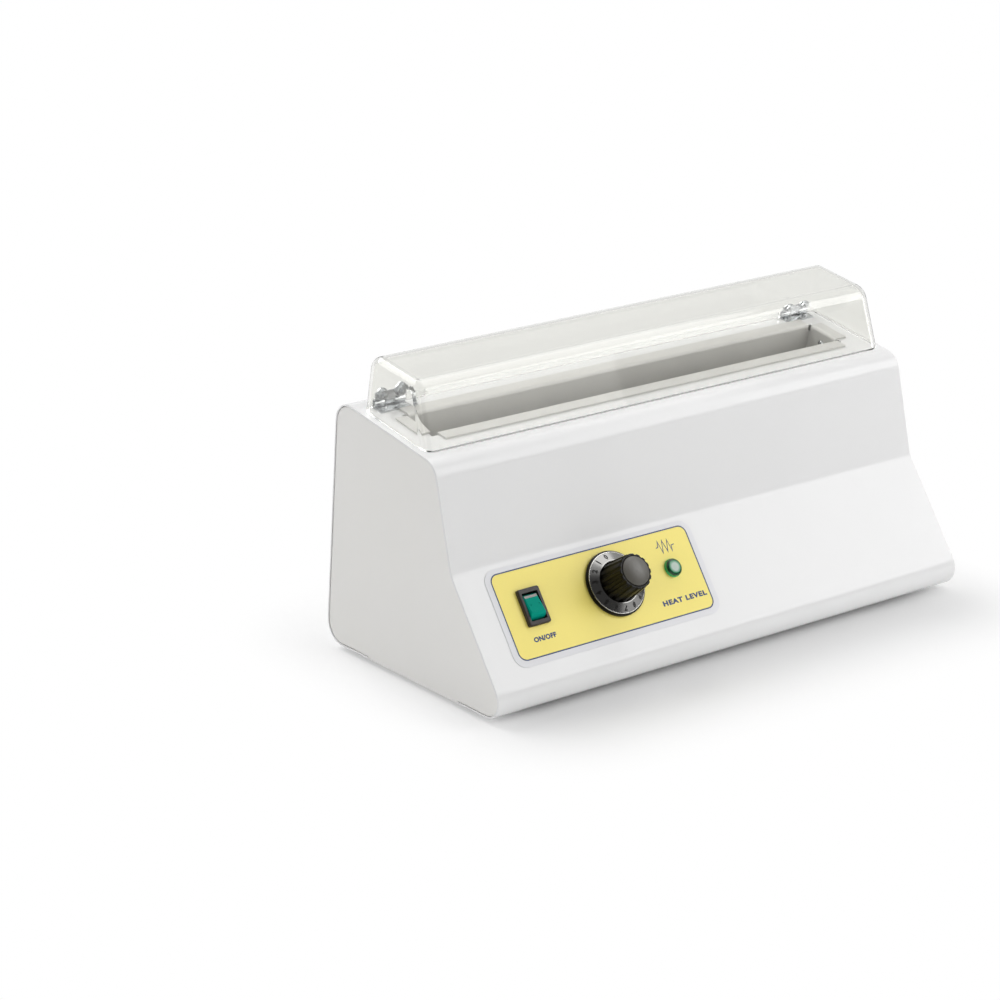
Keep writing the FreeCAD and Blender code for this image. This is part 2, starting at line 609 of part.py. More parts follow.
def base_leaf(side):
    """Hinge leaf on the housing's top, with the two outer knuckles."""
    ranges = [(HINGE_NEAR, KNUCKLE_SPLITS[0] - KNUCKLE_GAP), (KNUCKLE_SPLITS[1] + KNUCKLE_GAP, HINGE_FAR)]
    front = WELL_BACK + FLANGE_WIDTH + 0.4
    flat = plate(HINGE_NEAR, HINGE_FAR, front, HINGE_Y, 0, HINGE_LEAF)
    relief = plate(KNUCKLE_SPLITS[0] - KNUCKLE_GAP, KNUCKLE_SPLITS[1] + KNUCKLE_GAP,
                   HINGE_Y - KNUCKLE_RADIUS - 0.5, HINGE_Y + 1, -1, HINGE_LEAF + 1)
    bore = HINGE_PIN_RADIUS + 0.02
    barrels = [placed(shape, Placement(Vector(0, HINGE_Y, HINGE_Z), Rotation()))
               for shape in knuckles(ranges, bore)]
    leaf = fuse([flat.cut(relief)] + barrels)
    leaf = cut(leaf, [bar(HINGE_NEAR - 1, HINGE_FAR + 1, HINGE_Y, HINGE_Z, bore)])
    leaf = cut(leaf, [rod(x, BASE_LEAF_SCREW_Y, -1, 2, 1.3) for x in HINGE_SCREW_XS])
    if side < 0:
        leaf = leaf.mirror(Vector(0, 0, 0), Vector(1, 0, 0))
    return placed(leaf, TOP)


def hinge_pin(side):
    pin = bar(HINGE_NEAR - 0.2, HINGE_FAR + 0.2, 0, 0, HINGE_PIN_RADIUS)
    heads = [bar(x, x + 0.5, 0, 0, 1.4) for x in (HINGE_NEAR - 0.5, HINGE_FAR)]
    pin = fuse([pin] + heads)
    if side < 0:
        pin = pin.mirror(Vector(0, 0, 0), Vector(1, 0, 0))
    return placed(pin, HINGE)


def base_hinge_screws():
    screws = [pan_screw(x, BASE_LEAF_SCREW_Y, HINGE_LEAF, 1.75, 1.2, 1.0, 5.0) for x in hinge_screw_xs()]
    return placed(group(screws), TOP)


# ---------------------------------------------------------------- controls


def control_label():
    """Printed film on the control slope, cut out for the switch, knob, screws and lamp."""
    film = plate(LABEL_X[0], LABEL_X[1], LABEL_T[0], LABEL_T[1], 0, LABEL_THICKNESS, LABEL_CORNER)
    tools = [centred(SWITCH_X, CONTROL_T, SWITCH_CUT, -1, 1), rod(KNOB_X, CONTROL_T, -1, 1, 4.8)]
    tools += [rod(KNOB_X, t, -1, 1, 3.75) for t in THERMOSTAT_SCREW_TS]
    tools.append(rod(LAMP_X, CONTROL_T, -1, 1, 3.9))
    return placed(cut(film, tools), PANEL)


def switch_body():
    """Snap-in switch housing with its bezel and the pocket for the rocker."""
    bezel = centred(SWITCH_X, CONTROL_T, BEZEL_SIZE, LABEL_THICKNESS, BEZEL_TOP, 1.2)
    top_rim = [e for e in bezel.Edges if e.BoundBox.ZMin > BEZEL_TOP - 0.01]
    bezel = bezel.makeFillet(0.8, top_rim)
    body = centred(SWITCH_X, CONTROL_T, SWITCH_BODY, -SWITCH_DEPTH, LABEL_THICKNESS, 0.5)
    pocket = centred(SWITCH_X, CONTROL_T, ROCKER_POCKET, -7.5, BEZEL_TOP + 1, 0.4)
    bores = bar(SWITCH_X - 10, SWITCH_X + 10, CONTROL_T, ROCKER_PIVOT, 1.2 + RUNNING_CLEARANCE)
    return placed(cut(fuse([bezel, body]), [pocket, bores]), PANEL)


def switch_rocker():
    """Rocker on two trunnions, ends rounded about its axis, at rest with its upper end pressed in."""
    half = ROCKER_WIDTH / 2
    body = bar(-half, half, 0, 0, ROCKER_REACH).common(plate(-half, half, -8, 8, -3.4, ROCKER_RISE))
    sides = [e for e in body.Edges if e.BoundBox.ZMin > ROCKER_RISE - 0.01 and e.BoundBox.XLength < 0.01]
    body = body.makeChamfer(0.6, sides)
    ends = [e for e in body.Edges if e.BoundBox.ZMin > ROCKER_RISE - 0.01 and e.BoundBox.YLength < 0.01]
    body = body.makeFillet(0.3, ends)
    trunnions = bar(-half - 1.3, half + 1.3, 0, 0, 1.2)
    dimples = [rod(x, -0.6, ROCKER_RISE - 0.3, ROCKER_RISE + 1, 0.4) for x in (-2.65, 2.65)]
    rocker = cut(fuse([body, trunnions]), dimples)
    turn = Placement(Vector(SWITCH_X, CONTROL_T, ROCKER_PIVOT), Rotation(Vector(1, 0, 0), -ROCKER_THROW))
    return placed(placed(rocker, turn), PANEL)


SWITCH_TAB_TS = (CONTROL_T - 6.0, CONTROL_T, CONTROL_T + 6.0)
TAB_END = -21.5


def switch_terminals():
    tabs = [centred(SWITCH_X, t, (4.8, 0.8), TAB_END, -SWITCH_DEPTH) for t in SWITCH_TAB_TS]
    return placed(group(tabs), PANEL)


THERMOSTAT_BACK = -25.0


def thermostat_body():
    """Capillary thermostat behind the control slope, with its front plate and bush."""
    case = centred(KNOB_X, CONTROL_T, (38.0, 34.0), THERMOSTAT_BACK, -2.5, 2.0)
    front = centred(KNOB_X, CONTROL_T, (14.0, 37.0), -2.5, -SHEET, 2.0)
    bush = rod(KNOB_X, CONTROL_T, -2.5, 0.2, 4.6)
    tools = [rod(KNOB_X, CONTROL_T, -19.0, 1, SHAFT_RADIUS + RUNNING_CLEARANCE)]
    tools += [countersunk_screw(KNOB_X, t, LABEL_THICKNESS - 0.1, 3.6, 2.0, 9.2, 0.1)
              for t in THERMOSTAT_SCREW_TS]
    return placed(cut(fuse([case, front, bush]), tools), PANEL)


def thermostat_shaft():
    """Control shaft with a flat for the knob's set screw."""
    shaft = rod(KNOB_X, CONTROL_T, -18.5, KNOB_TOP - 3.2, SHAFT_RADIUS)
    flat = plate(KNOB_X - 4, KNOB_X + 4, CONTROL_T - 4, CONTROL_T - 1.6, 6.0, 21)
    return placed(shaft.cut(flat), PANEL)


def thermostat_screws():
    screws = [countersunk_screw(KNOB_X, t, LABEL_THICKNESS - 0.1, 3.6, 2.0, 9.0) for t in THERMOSTAT_SCREW_TS]
    return placed(group(screws), PANEL)


KNOB_SCREW_Z = 11.0


def knob_body():
    """Black knob: flared rim under the skirt, tapered fluted grip, seat for the cap."""
    bore = SHAFT_RADIUS + RUNNING_CLEARANCE
    profile = [(bore, KNOB_BOTTOM), (KNOB_RIM_RADIUS, KNOB_BOTTOM), (KNOB_RIM_RADIUS, KNOB_SEAT - 0.5),
               (SKIRT_RADIUS, KNOB_SEAT), (KNOB_BASE_RADIUS, KNOB_SEAT),
               (KNOB_TOP_RADIUS, KNOB_TOP - 0.5), (KNOB_TOP_RADIUS - 0.4, KNOB_TOP),
               (CAP_RADIUS + 0.5, KNOB_TOP), (CAP_RADIUS + 0.1, KNOB_TOP - 1),
               (0, KNOB_TOP - 1), (0, KNOB_TOP - 2.8), (bore, KNOB_TOP - 2.8)]
    knob = turned(KNOB_X, CONTROL_T, profile)
    taper = math.degrees(math.atan2(KNOB_BASE_RADIUS - KNOB_TOP_RADIUS, KNOB_TOP - KNOB_SEAT))
    groove = Part.makeCylinder(FLUTE_RADIUS, 24.0)
    groove.rotate(Vector(0, 0, 0), Vector(0, 1, 0), -taper)
    groove.translate(Vector(KNOB_BASE_RADIUS + 0.4, 0, KNOB_SEAT))
    grooves = []
    for i in range(FLUTES):
        turn = Rotation(Vector(0, 0, 1), 360.0 * i / FLUTES)
        grooves.append(placed(groove, Placement(Vector(KNOB_X, CONTROL_T, 0), turn)))
    knob = cut(knob, grooves)
    screw_way = Part.makeCylinder(1.5, 14, Vector(KNOB_X, CONTROL_T, KNOB_SCREW_Z), Vector(0, -1, 0))
    return placed(knob.cut(screw_way), PANEL)


def knob_set_screw():
    """Set screw that bears on the shaft's flat."""
    screw = Part.makeCylinder(1.45, 6.5, Vector(KNOB_X, CONTROL_T - 1.62, KNOB_SCREW_Z), Vector(0, -1, 0))
    slot = centred(KNOB_X, CONTROL_T - 8.1, (0.6, 1.8), KNOB_SCREW_Z - 2, KNOB_SCREW_Z + 2)
    return placed(screw.cut(slot), PANEL)


def knob_cap():
    """Domed cap in the knob's top."""
    rim, rise = KNOB_TOP + 0.4, 1.4
    ball = (CAP_RADIUS ** 2 + rise ** 2) / (2 * rise)
    cap = rod(KNOB_X, CONTROL_T, KNOB_TOP - 1, rim + rise, CAP_RADIUS)
    dome = Part.makeSphere(ball, Vector(KNOB_X, CONTROL_T, rim + rise - ball))
    return placed(cap.common(dome), PANEL)


def knob_skirt():
    """Aluminium skirt: a shallow cone that carries the numbers."""
    inner = KNOB_BASE_RADIUS + 0.05
    profile = [(inner, KNOB_SEAT), (SKIRT_RADIUS, KNOB_SEAT), (SKIRT_RADIUS, KNOB_SEAT + 0.5),
               (inner + 0.4, KNOB_SEAT + 2.8), (inner, KNOB_SEAT + 2.8)]
    return placed(turned(KNOB_X, CONTROL_T, profile), PANEL)


LENS_NECK = -8.0


def pilot_lamp_lens():
    """Green lens with flange and hollow neck."""
    bottom = LABEL_THICKNESS
    profile = [(2.6, LENS_NECK), (3.75, LENS_NECK), (3.75, bottom), (5.2, bottom), (5.2, bottom + 0.5),
               (4.95, bottom + 0.8), (4.85, bottom + 1.9), (4.3, bottom + 2.5), (3.4, bottom + 2.8),
               (0, bottom + 2.8), (0, bottom + 1.4), (2.6, bottom + 1.4)]
    return placed(turned(LAMP_X, CONTROL_T, profile), PANEL)


def pilot_lamp_nut():
    nut = hexagon(LAMP_X, CONTROL_T, -SHEET - 3.0, -SHEET, 12.0)
    return placed(nut.cut(rod(LAMP_X, CONTROL_T, -10, 1, 3.8)), PANEL)


LAMP_BACK = -21.5


def pilot_lamp_holder():
    body = rod(LAMP_X, CONTROL_T, -17.0, LENS_NECK, 4.6)
    tabs = [centred(LAMP_X, CONTROL_T + t, (2.8, 0.8), LAMP_BACK, -16.5) for t in (-2.2, 2.2)]
    return placed(fuse([body] + tabs), PANEL)


def pilot_lamp_capsule():
    capsule = rod(LAMP_X, CONTROL_T, LENS_NECK, 1.3, 2.0)
    rim = [e for e in capsule.Edges if e.BoundBox.ZMin > 1.2]
    return placed(capsule.makeFillet(1.4, rim), PANEL)


# ---------------------------------------------------------------- mains side

INLET_PIN_SPOTS = {"live": (7.0, -2.0), "neutral": (-7.0, -2.0), "earth": (0.0, 2.0)}
INLET_PIN_ENDS = {"live": -21.5, "neutral": -21.5, "earth": -18.5}


def power_inlet():
    """Panel inlet for a detachable mains lead, screwed into the back."""
    flange = centred(-INLET_X, INLET_HEIGHT, (50.0, 24.0), 0, 2.2, 4.0)
    rim = [e for e in flange.Edges if e.BoundBox.ZMin > 2.1]
    flange = flange.makeFillet(0.6, rim)
    shell = centred(-INLET_X, INLET_HEIGHT, (27.0, 20.0), -15.0, 0.1, 1.0)
    w, h, bevel = 12.1, 8.2, 4.5
    outline = [(-w, -h), (w, -h), (w, h - bevel), (w - bevel, h), (-w + bevel, h), (-w, h - bevel)]
    wire = rounded_wire(outline, [1.0] * 6, lambda x, y: Vector(x - INLET_X, y + INLET_HEIGHT, -13.5))
    socket = Part.Face(wire).extrude(Vector(0, 0, 20))
    tools = [socket] + [countersunk_screw(x, INLET_HEIGHT, 2.2, 2.9, 1.5, 6, 0.1) for x in INLET_SCREW_XS]
    for x, y in INLET_PIN_SPOTS.values():
        tools.append(centred(x - INLET_X, y + INLET_HEIGHT, (2.1, 4.1), -16, -10))
    return placed(cut(fuse([flange, shell]), tools), BACK)


def inlet_pins():
    pins = []
    for name, (x, y) in INLET_PIN_SPOTS.items():
        blade = centred(x - INLET_X, y + INLET_HEIGHT, (2.0, 4.0), -15.0, -3.0, 0.6)
        tab = centred(x - INLET_X, y + INLET_HEIGHT, (0.8, 4.0), INLET_PIN_ENDS[name], -14.9)
        pins.append(fuse([blade, tab]))
    return placed(group(pins), BACK)


def inlet_screws():
    screws = [countersunk_screw(x, INLET_HEIGHT, 2.1, 2.9, 1.5, 8) for x in INLET_SCREW_XS]
    return placed(group(screws), BACK)


def inlet_nuts():
    nuts = [hexagon(x, INLET_HEIGHT, -SHEET - 2.4, -SHEET, 5.5).cut(rod(x, INLET_HEIGHT, -9, 1, 1.55))
            for x in INLET_SCREW_XS]
    return placed(group(nuts), BACK)


BLOCK_X = (30.0, 66.0)
BLOCK_Y = (58.0, 76.0)
BLOCK_POLES = (36.0, 48.0, 60.0)
BLOCK_WIRE_Z = BASE_TOP + 6.5


def terminal_block():
    """Three-pole block on the base plate with screw wells from above."""
    body = plate(BLOCK_X[0], BLOCK_X[1], BLOCK_Y[0], BLOCK_Y[1], BASE_TOP, BASE_TOP + 14.0)
    tools = [rod(x, y, BASE_TOP + 9.0, BASE_TOP + 15, 2.6) for x in BLOCK_POLES
             for y in (BLOCK_Y[0] + 4.5, BLOCK_Y[1] - 4.5)]
    tools += [plate(x - 0.8, x + 0.8, BLOCK_Y[0] - 1, BLOCK_Y[1] + 1, BASE_TOP + 10.5, BASE_TOP + 15)
              for x in (42.0, 54.0)]
    return cut(body, tools)


def terminal_screws():
    """Clamp screws, two to a pole."""
    screws = []
    for x in BLOCK_POLES:
        for y in (BLOCK_Y[0] + 4.5, BLOCK_Y[1] - 4.5):
            head = rod(x, y, BASE_TOP + 9.0, BASE_TOP + 11.5, 2.4)
            slot = plate(x - 3, x + 3, y - 0.4, y + 0.4, BASE_TOP + 10.5, BASE_TOP + 12)
            screws.append(head.cut(slot))
    return screws


EARTH_SPOT = (108.0, 78.0)


def earth_stud():
    return rod(EARTH_SPOT[0], EARTH_SPOT[1], BASE_TOP, BASE_TOP + 12.0, 2.0)


def earth_nut():
    nut = hexagon(EARTH_SPOT[0], EARTH_SPOT[1], BASE_TOP + 1.1, BASE_TOP + 4.3, 7.0)
    return nut.cut(rod(EARTH_SPOT[0], EARTH_SPOT[1], 0, 20, 2.05))


def spot(frame, x, y, z):
    """Point given in a slope frame, as (X, Y, Z)."""
    point = frame.multVec(Vector(x, y, z))
    return (point.x, point.y, point.z)


def inlet_tail(name):
    """First two points of the wire that hangs from the tab of an inlet pin."""
    x, y = INLET_PIN_SPOTS[name]
    first = spot(BACK, x - INLET_X, y + INLET_HEIGHT - 2.2, INLET_PIN_ENDS[name] + 1.5)
    return [first, (first[0], first[1], 21.0)]


def panel_tail(x, t, end):
    """First two points of a wire that leaves a control straight backwards."""
    return [spot(PANEL, x, t, end), spot(PANEL, x, t, end - 7.5)]


def mat_tail(x, front):
    """Mat lead from the mat's lower edge to below the trough's edge."""
    v = WELL_FRONT - TROUGH_SHEET - MAT_THICKNESS / 2
    bends = [(v, MAT_SPAN[0]), (v - 0.3, -90.0), (v - 2.4, -101.0)]
    if not front:
        bends = [(2 * WELL_MIDDLE - y, z) for y, z in bends]
    return [spot(TOP, x, y, z) for y, z in bends]


def cutout_tail(x):
    """First two points of a wire that leaves a tab of the thermal cut-out."""
    return [spot(TOP, x, WELL_MIDDLE, CUTOUT_TAB_END), spot(TOP, x, WELL_MIDDLE, CUTOUT_TAB_END - 6.0)]


def block_end(pole, rear):
    """Last two points of a wire that enters the terminal block."""
    y, step = (BLOCK_Y[1], 10.0) if rear else (BLOCK_Y[0], -10.0)
    return [(BLOCK_POLES[pole], y + step, BLOCK_WIRE_Z), (BLOCK_POLES[pole], y, BLOCK_WIRE_Z)]


def earth_lug():
    lug = rod(EARTH_SPOT[0], EARTH_SPOT[1], BASE_TOP, BASE_TOP + 1.0, 4.2)
    tongue = centred(EARTH_SPOT[0], EARTH_SPOT[1] + 5.0, (3.2, 10.0), BASE_TOP, BASE_TOP + 1.0)
    return fuse([lug, tongue]).cut(rod(EARTH_SPOT[0], EARTH_SPOT[1], 0, 9, 2.05))


def wiring():
    """Wires and capillary, each held by its terminals over its whole run."""
    live = inlet_tail("live") + [(88, 120, 9), (62, 106, 8), (38, 98, 8.5)] + block_end(0, True)
    neutral = inlet_tail("neutral") + [(104, 120, 9), (78, 102, 8), (50, 92, 8.5)] + block_end(1, True)
    earth = inlet_tail("earth") + [(106, 118, 21), (109, 98, 8)]
    earth.append((EARTH_SPOT[0], EARTH_SPOT[1] + 7.0, BASE_TOP + 1.6))
    to_switch = panel_tail(SWITCH_X, SWITCH_TAB_TS[0], TAB_END) + [
        (-118, 56, 12), (-96, 48, 8), (-62, 44, 7), (24, 44, 7)] + block_end(0, False)
    to_thermostat = panel_tail(SWITCH_X, SWITCH_TAB_TS[1], TAB_END) + [(-112, 66, 25), (-94, 68, 23)]
    to_thermostat += panel_tail(-82, CONTROL_T, THERMOSTAT_BACK)[::-1]
    to_lamp = panel_tail(SWITCH_X, SWITCH_TAB_TS[2], TAB_END) + [(-112, 78, 34), (-70, 84, 32)]
    to_lamp += panel_tail(LAMP_X, CONTROL_T + 2.2, LAMP_BACK)[::-1]
    from_lamp = panel_tail(LAMP_X, CONTROL_T - 2.2, LAMP_BACK) + [
        (-22, 62, 18), (4, 56, 16), (36, 44, 16)] + block_end(1, False)
    to_cutout = panel_tail(-59, CONTROL_T, THERMOSTAT_BACK) + [
        (-50, 78, 15), (-20, 94, 12), (20, 106, 15), (40, 120, 13)] + cutout_tail(CUTOUT_TABS[0])[::-1]
    to_front_mat = cutout_tail(CUTOUT_TABS[1]) + [(68, 112, 14), (77, 104, 19)] + mat_tail(80, True)[::-1]
    between_mats = mat_tail(40, True) + [spot(TOP, 40, y, -107.5) for y in (30.0, WELL_MIDDLE * 2 - 30.0)]
    between_mats += mat_tail(40, False)[::-1]
    from_back_mat = mat_tail(84, False) + [(80, 126, 21), (64, 100, 18)] + block_end(2, True)
    bulb = spot(TOP, BULB_X[1], WELL_MIDDLE, BULB_Z)
    capillary = panel_tail(KNOB_X, CONTROL_T + 4, THERMOSTAT_BACK) + [
        (-64, 84, 20), (-42, 102, 16), (-27, 115, 21), (bulb[0] + 16, bulb[1], bulb[2]), bulb]
    mat_leads = [tube(points, MAT_LEAD) for points in (to_front_mat, between_mats, from_back_mat)]
    return {
        "mains_wires": group([tube(live, WIRE), tube(neutral, WIRE)]),
        "switch_wires": group([tube(to_switch, WIRE), tube(to_thermostat, WIRE)]),
        "lamp_wires": group([tube(to_lamp, LAMP_LEAD), tube(from_lamp, LAMP_LEAD)]),
        "heater_wires": group([tube(to_cutout, WIRE)] + mat_leads),
        "earth_wire": fuse([tube(earth, WIRE), earth_lug()]),
        "capillary_tube": tube(capillary, 1.5),
    }


# ---------------------------------------------------------------- all pieces


def all_pieces():
    pieces = {
        "housing_wrap": housing_wrap(),
        "end_cap_left": end_cap(-1),
        "end_cap_right": end_cap(1),
        "base_plate": base_plate(),
        "base_screws": base_screws(),
        "cap_screws": cap_screws(),
        "foot_screws": foot_screws(),
        "cartridge_trough": cartridge_trough(),
        "trough_rivets": trough_rivets(),
        "trough_support_left": trough_support(-1),
        "trough_support_right": trough_support(1),
        "heater_mat_front": side_board(MAT_SPAN, MAT_THICKNESS, 0, True),
        "heater_mat_back": side_board(MAT_SPAN, MAT_THICKNESS, 0, False),
        "insulation_front": side_board(INSULATION_SPAN, INSULATION_THICKNESS, MAT_THICKNESS, True),
        "insulation_back": side_board(INSULATION_SPAN, INSULATION_THICKNESS, MAT_THICKNESS, False),
        "thermal_cutout": thermal_cutout(),
        "thermostat_bulb": thermostat_bulb(),
        "bulb_clips": bulb_clips(),
        "clear_lid": clear_lid(),
        "lid_hinge_screws": placed(group(lid_screw_shapes()), HINGE),
        "lid_hinge_nuts": lid_hinge_nuts(),
        "base_hinge_screws": base_hinge_screws(),
        "control_label": control_label(),
        "switch_body": switch_body(),
        "switch_rocker": switch_rocker(),
        "switch_terminals": switch_terminals(),
        "thermostat_body": thermostat_body(),
        "thermostat_shaft": thermostat_shaft(),
        "thermostat_screws": thermostat_screws(),
        "knob_body": knob_body(),
        "knob_skirt": knob_skirt(),
        "knob_cap": knob_cap(),
        "knob_set_screw": knob_set_screw(),
        "pilot_lamp_lens": pilot_lamp_lens(),
        "pilot_lamp_nut": pilot_lamp_nut(),
        "pilot_lamp_holder": pilot_lamp_holder(),
        "pilot_lamp_capsule": pilot_lamp_capsule(),
        "power_inlet": power_inlet(),
        "inlet_pins": inlet_pins(),
        "inlet_screws": inlet_screws(),
        "inlet_nuts": inlet_nuts(),
        "terminal_block": group([terminal_block()] + terminal_screws()),
        "earth_stud": earth_stud(),
        "earth_nut": earth_nut(),
    }
    for name, (x, y) in FEET.items():
        pieces[name] = foot(x, y)
    for side, word in ((-1, "left"), (1, "right")):
        pieces["hinge_lid_leaf_" + word] = lid_leaf(side)
        pieces["hinge_base_leaf_" + word] = base_leaf(side)
        pieces["hinge_pin_" + word] = hinge_pin(side)
    pieces.update(wiring())
    return pieces


os.makedirs("parts", exist_ok=True)
for piece_name, piece in all_pieces().items():
    save(piece_name, piece)
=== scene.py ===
import math

import bmesh
import bpy
from mathutils import Matrix, Vector


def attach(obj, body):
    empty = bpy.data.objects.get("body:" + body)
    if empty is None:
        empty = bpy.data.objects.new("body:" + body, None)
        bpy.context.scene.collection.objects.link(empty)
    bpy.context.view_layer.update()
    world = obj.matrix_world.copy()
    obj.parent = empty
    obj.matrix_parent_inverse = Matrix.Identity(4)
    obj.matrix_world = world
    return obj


# A heater for roll-on wax cartridges: dressed with printed label, dial numbers and real finishes.
# Lengths are in millimetres until a mesh is made; MM turns them to metres. The floor's and the
# lamps' sizes and places are in metres.

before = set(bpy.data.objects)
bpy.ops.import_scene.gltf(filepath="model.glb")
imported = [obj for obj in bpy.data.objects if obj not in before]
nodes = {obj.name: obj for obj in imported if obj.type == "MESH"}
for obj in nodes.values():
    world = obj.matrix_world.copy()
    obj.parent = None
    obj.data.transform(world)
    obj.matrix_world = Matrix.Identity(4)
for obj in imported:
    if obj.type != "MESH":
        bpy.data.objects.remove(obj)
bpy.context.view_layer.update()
MM = 0.001

# ---------------------------------------------------------------- places on the housing
NOSE_PLACE = Vector((0, -85.7487, 3.0))       # corner of the side profile under the control slope
KNEE = (49.4, 69.0)                            # top of the control slope, from that corner

LABEL_TOP = 0.3
CONTROL_T = 58.06                              # height of the controls' row up the slope
SWITCH_X = -124.4
KNOB_X = -69.3
LAMP_X = -28.7
FIELD_X = (-143.7, -10.4)
FIELD_T = (31.56, 79.86)
FIELD_CORNER = 5.0
BORDER = 0.7


def control_slope():
    """Frame on the control slope: local Y up the slope, local Z out of the housing."""
    x_axis = Vector((1, 0, 0))
    y_axis = Vector((0, *KNEE)).normalized()
    turn = Matrix((x_axis, y_axis, x_axis.cross(y_axis))).transposed().to_4x4()
    return Matrix.Translation(NOSE_PLACE) @ turn


PANEL = control_slope()

# ---------------------------------------------------------------- finishes
TRAPPED_LIGHT = 0.24        # how freely light caught between the lid's two faces leaves it, 0 to 1
TRAPPED_DEPTH = (4.0, 5.0)  # turns a ray takes before it counts as caught
LID_PASS = 0.12             # opacity of the lid for light that passes straight


def linear(code, alpha=1.0):
    """sRGB hex value as linear colour."""
    parts = [int(code[i:i + 2], 16) / 255 for i in (1, 3, 5)]
    parts = [c / 12.92 if c <= 0.04045 else ((c + 0.055) / 1.055) ** 2.4 for c in parts]
    return (*parts, alpha)


def per_mm(size):
    """Texture scale whose pattern repeats about every size millimetres."""
    return 1000.0 / size


def add(tree, kind, values=(), links=(), **settings):
    """Adds a node with its settings, input values and links."""
    made = tree.nodes.new(kind)
    for name, value in settings.items():
        setattr(made, name, value)
    for socket, value in dict(values).items():
        made.inputs[socket].default_value = value
    for socket, source in dict(links).items():
        tree.links.new(source, made.inputs[socket])
    return made


def start_finish(name, colour, roughness, **sockets):
    """New material with one surface shader; returns it with its tree, shader and place vector."""
    material = bpy.data.materials.new(name)
    material.use_nodes = True
    tree = material.node_tree
    tree.nodes.clear()
    values = {"Base Color": linear(colour), "Roughness": roughness}
    values.update({key.replace("_", " "): value for key, value in sockets.items()})
    surface = add(tree, "ShaderNodeBsdfPrincipled", values)
    add(tree, "ShaderNodeOutputMaterial", links={"Surface": surface.outputs[0]})
    place = add(tree, "ShaderNodeTexCoord").outputs["Object"]
    return material, tree, surface, place


def powder_coated_steel():
    """Powder-coated sheet steel: a glossy white film whose faint orange peel softens reflections."""
    # The peel's pitch is 1.6 mm, as cured powder leaves it; the clouds follow the spray gun's passes.
    material, tree, surface, place = start_finish("powder_coated_steel", "#EDEDED", 0.13)
    peel = add(tree, "ShaderNodeTexNoise", {"Scale": per_mm(1.6), "Detail": 2.0}, {"Vector": place})
    clouds = add(tree, "ShaderNodeTexNoise", {"Scale": per_mm(55), "Detail": 3.0}, {"Vector": place})
    gloss = add(tree, "ShaderNodeMapRange", {"To Min": 0.1, "To Max": 0.16}, {"Value": clouds.outputs[0]})
    tone = add(tree, "ShaderNodeMix", {6: linear("#EBEBEB"), 7: linear("#EFEFEF")},
               {0: clouds.outputs[0]}, data_type="RGBA")
    bump = add(tree, "ShaderNodeBump", {"Strength": 0.04, "Distance": 0.00006}, {"Height": peel.outputs[0]})
    tree.links.new(gloss.outputs[0], surface.inputs["Roughness"])
    tree.links.new(tone.outputs[2], surface.inputs["Base Color"])
    tree.links.new(bump.outputs[0], surface.inputs["Normal"])
    return material


def moulded_abs():
    """Moulded ABS: white, a touch warmer and duller than the coat, with fine spark-eroded grain."""
    # The mould's grain is nearer 0.15 mm; it is drawn at 0.8 mm so that it shows.
    material, tree, surface, place = start_finish("moulded_ABS", "#EBEAE7", 0.34, IOR=1.52)
    grain = add(tree, "ShaderNodeTexNoise", {"Scale": per_mm(0.8), "Detail": 4.0, "Roughness": 0.6},
                {"Vector": place})
    clouds = add(tree, "ShaderNodeTexNoise", {"Scale": per_mm(70), "Detail": 2.0}, {"Vector": place})
    gloss = add(tree, "ShaderNodeMapRange", {"To Min": 0.3, "To Max": 0.4}, {"Value": clouds.outputs[0]})
    tone = add(tree, "ShaderNodeMix", {6: linear("#E9E8E4"), 7: linear("#EDECEA")},
               {0: clouds.outputs[0]}, data_type="RGBA")
    bump = add(tree, "ShaderNodeBump", {"Strength": 0.06, "Distance": 0.00005}, {"Height": grain.outputs[0]})
    tree.links.new(gloss.outputs[0], surface.inputs["Roughness"])
    tree.links.new(tone.outputs[2], surface.inputs["Base Color"])
    tree.links.new(bump.outputs[0], surface.inputs["Normal"])
    return material


def blasted_aluminium():
    """Bead-blasted, clear-anodised aluminium sheet: pale matt grey that scatters most light."""
    # Glass beads leave dents of about 0.1 mm; they are drawn at 0.6 mm so that they show.
    material, tree, surface, place = start_finish("blasted_aluminium", "#CFCECB", 0.5, Metallic=0.15)
    grain = add(tree, "ShaderNodeTexNoise", {"Scale": per_mm(0.6), "Detail": 4.0, "Roughness": 0.7},
                {"Vector": place})
    clouds = add(tree, "ShaderNodeTexNoise", {"Scale": per_mm(30), "Detail": 3.0}, {"Vector": place})
    gloss = add(tree, "ShaderNodeMapRange", {"To Min": 0.45, "To Max": 0.6}, {"Value": clouds.outputs[0]})
    tone = add(tree, "ShaderNodeMix", {6: linear("#CBCAC7"), 7: linear("#D4D3D0")},
               {0: clouds.outputs[0]}, data_type="RGBA")
    bump = add(tree, "ShaderNodeBump", {"Strength": 0.12, "Distance": 0.00005}, {"Height": grain.outputs[0]})
    tree.links.new(gloss.outputs[0], surface.inputs["Roughness"])
    tree.links.new(tone.outputs[2], surface.inputs["Base Color"])
    tree.links.new(bump.outputs[0], surface.inputs["Normal"])
    return material


def axis_frame(tree, place, frame_matrix):
    """Place vector seen from a control's own axis: its offset from the axis and its distance."""
    to_axis = frame_matrix.inverted()
    local = add(tree, "ShaderNodeMapping", {"Location": to_axis.to_translation(),
                                            "Rotation": to_axis.to_euler()}, {"Vector": place})
    split = add(tree, "ShaderNodeSeparateXYZ", links={0: local.outputs[0]})
    flat = add(tree, "ShaderNodeCombineXYZ", links={0: split.outputs[0], 1: split.outputs[1]})
    radius = add(tree, "ShaderNodeVectorMath", links={0: flat.outputs[0]}, operation="LENGTH")
    return flat.outputs[0], radius.outputs["Value"]


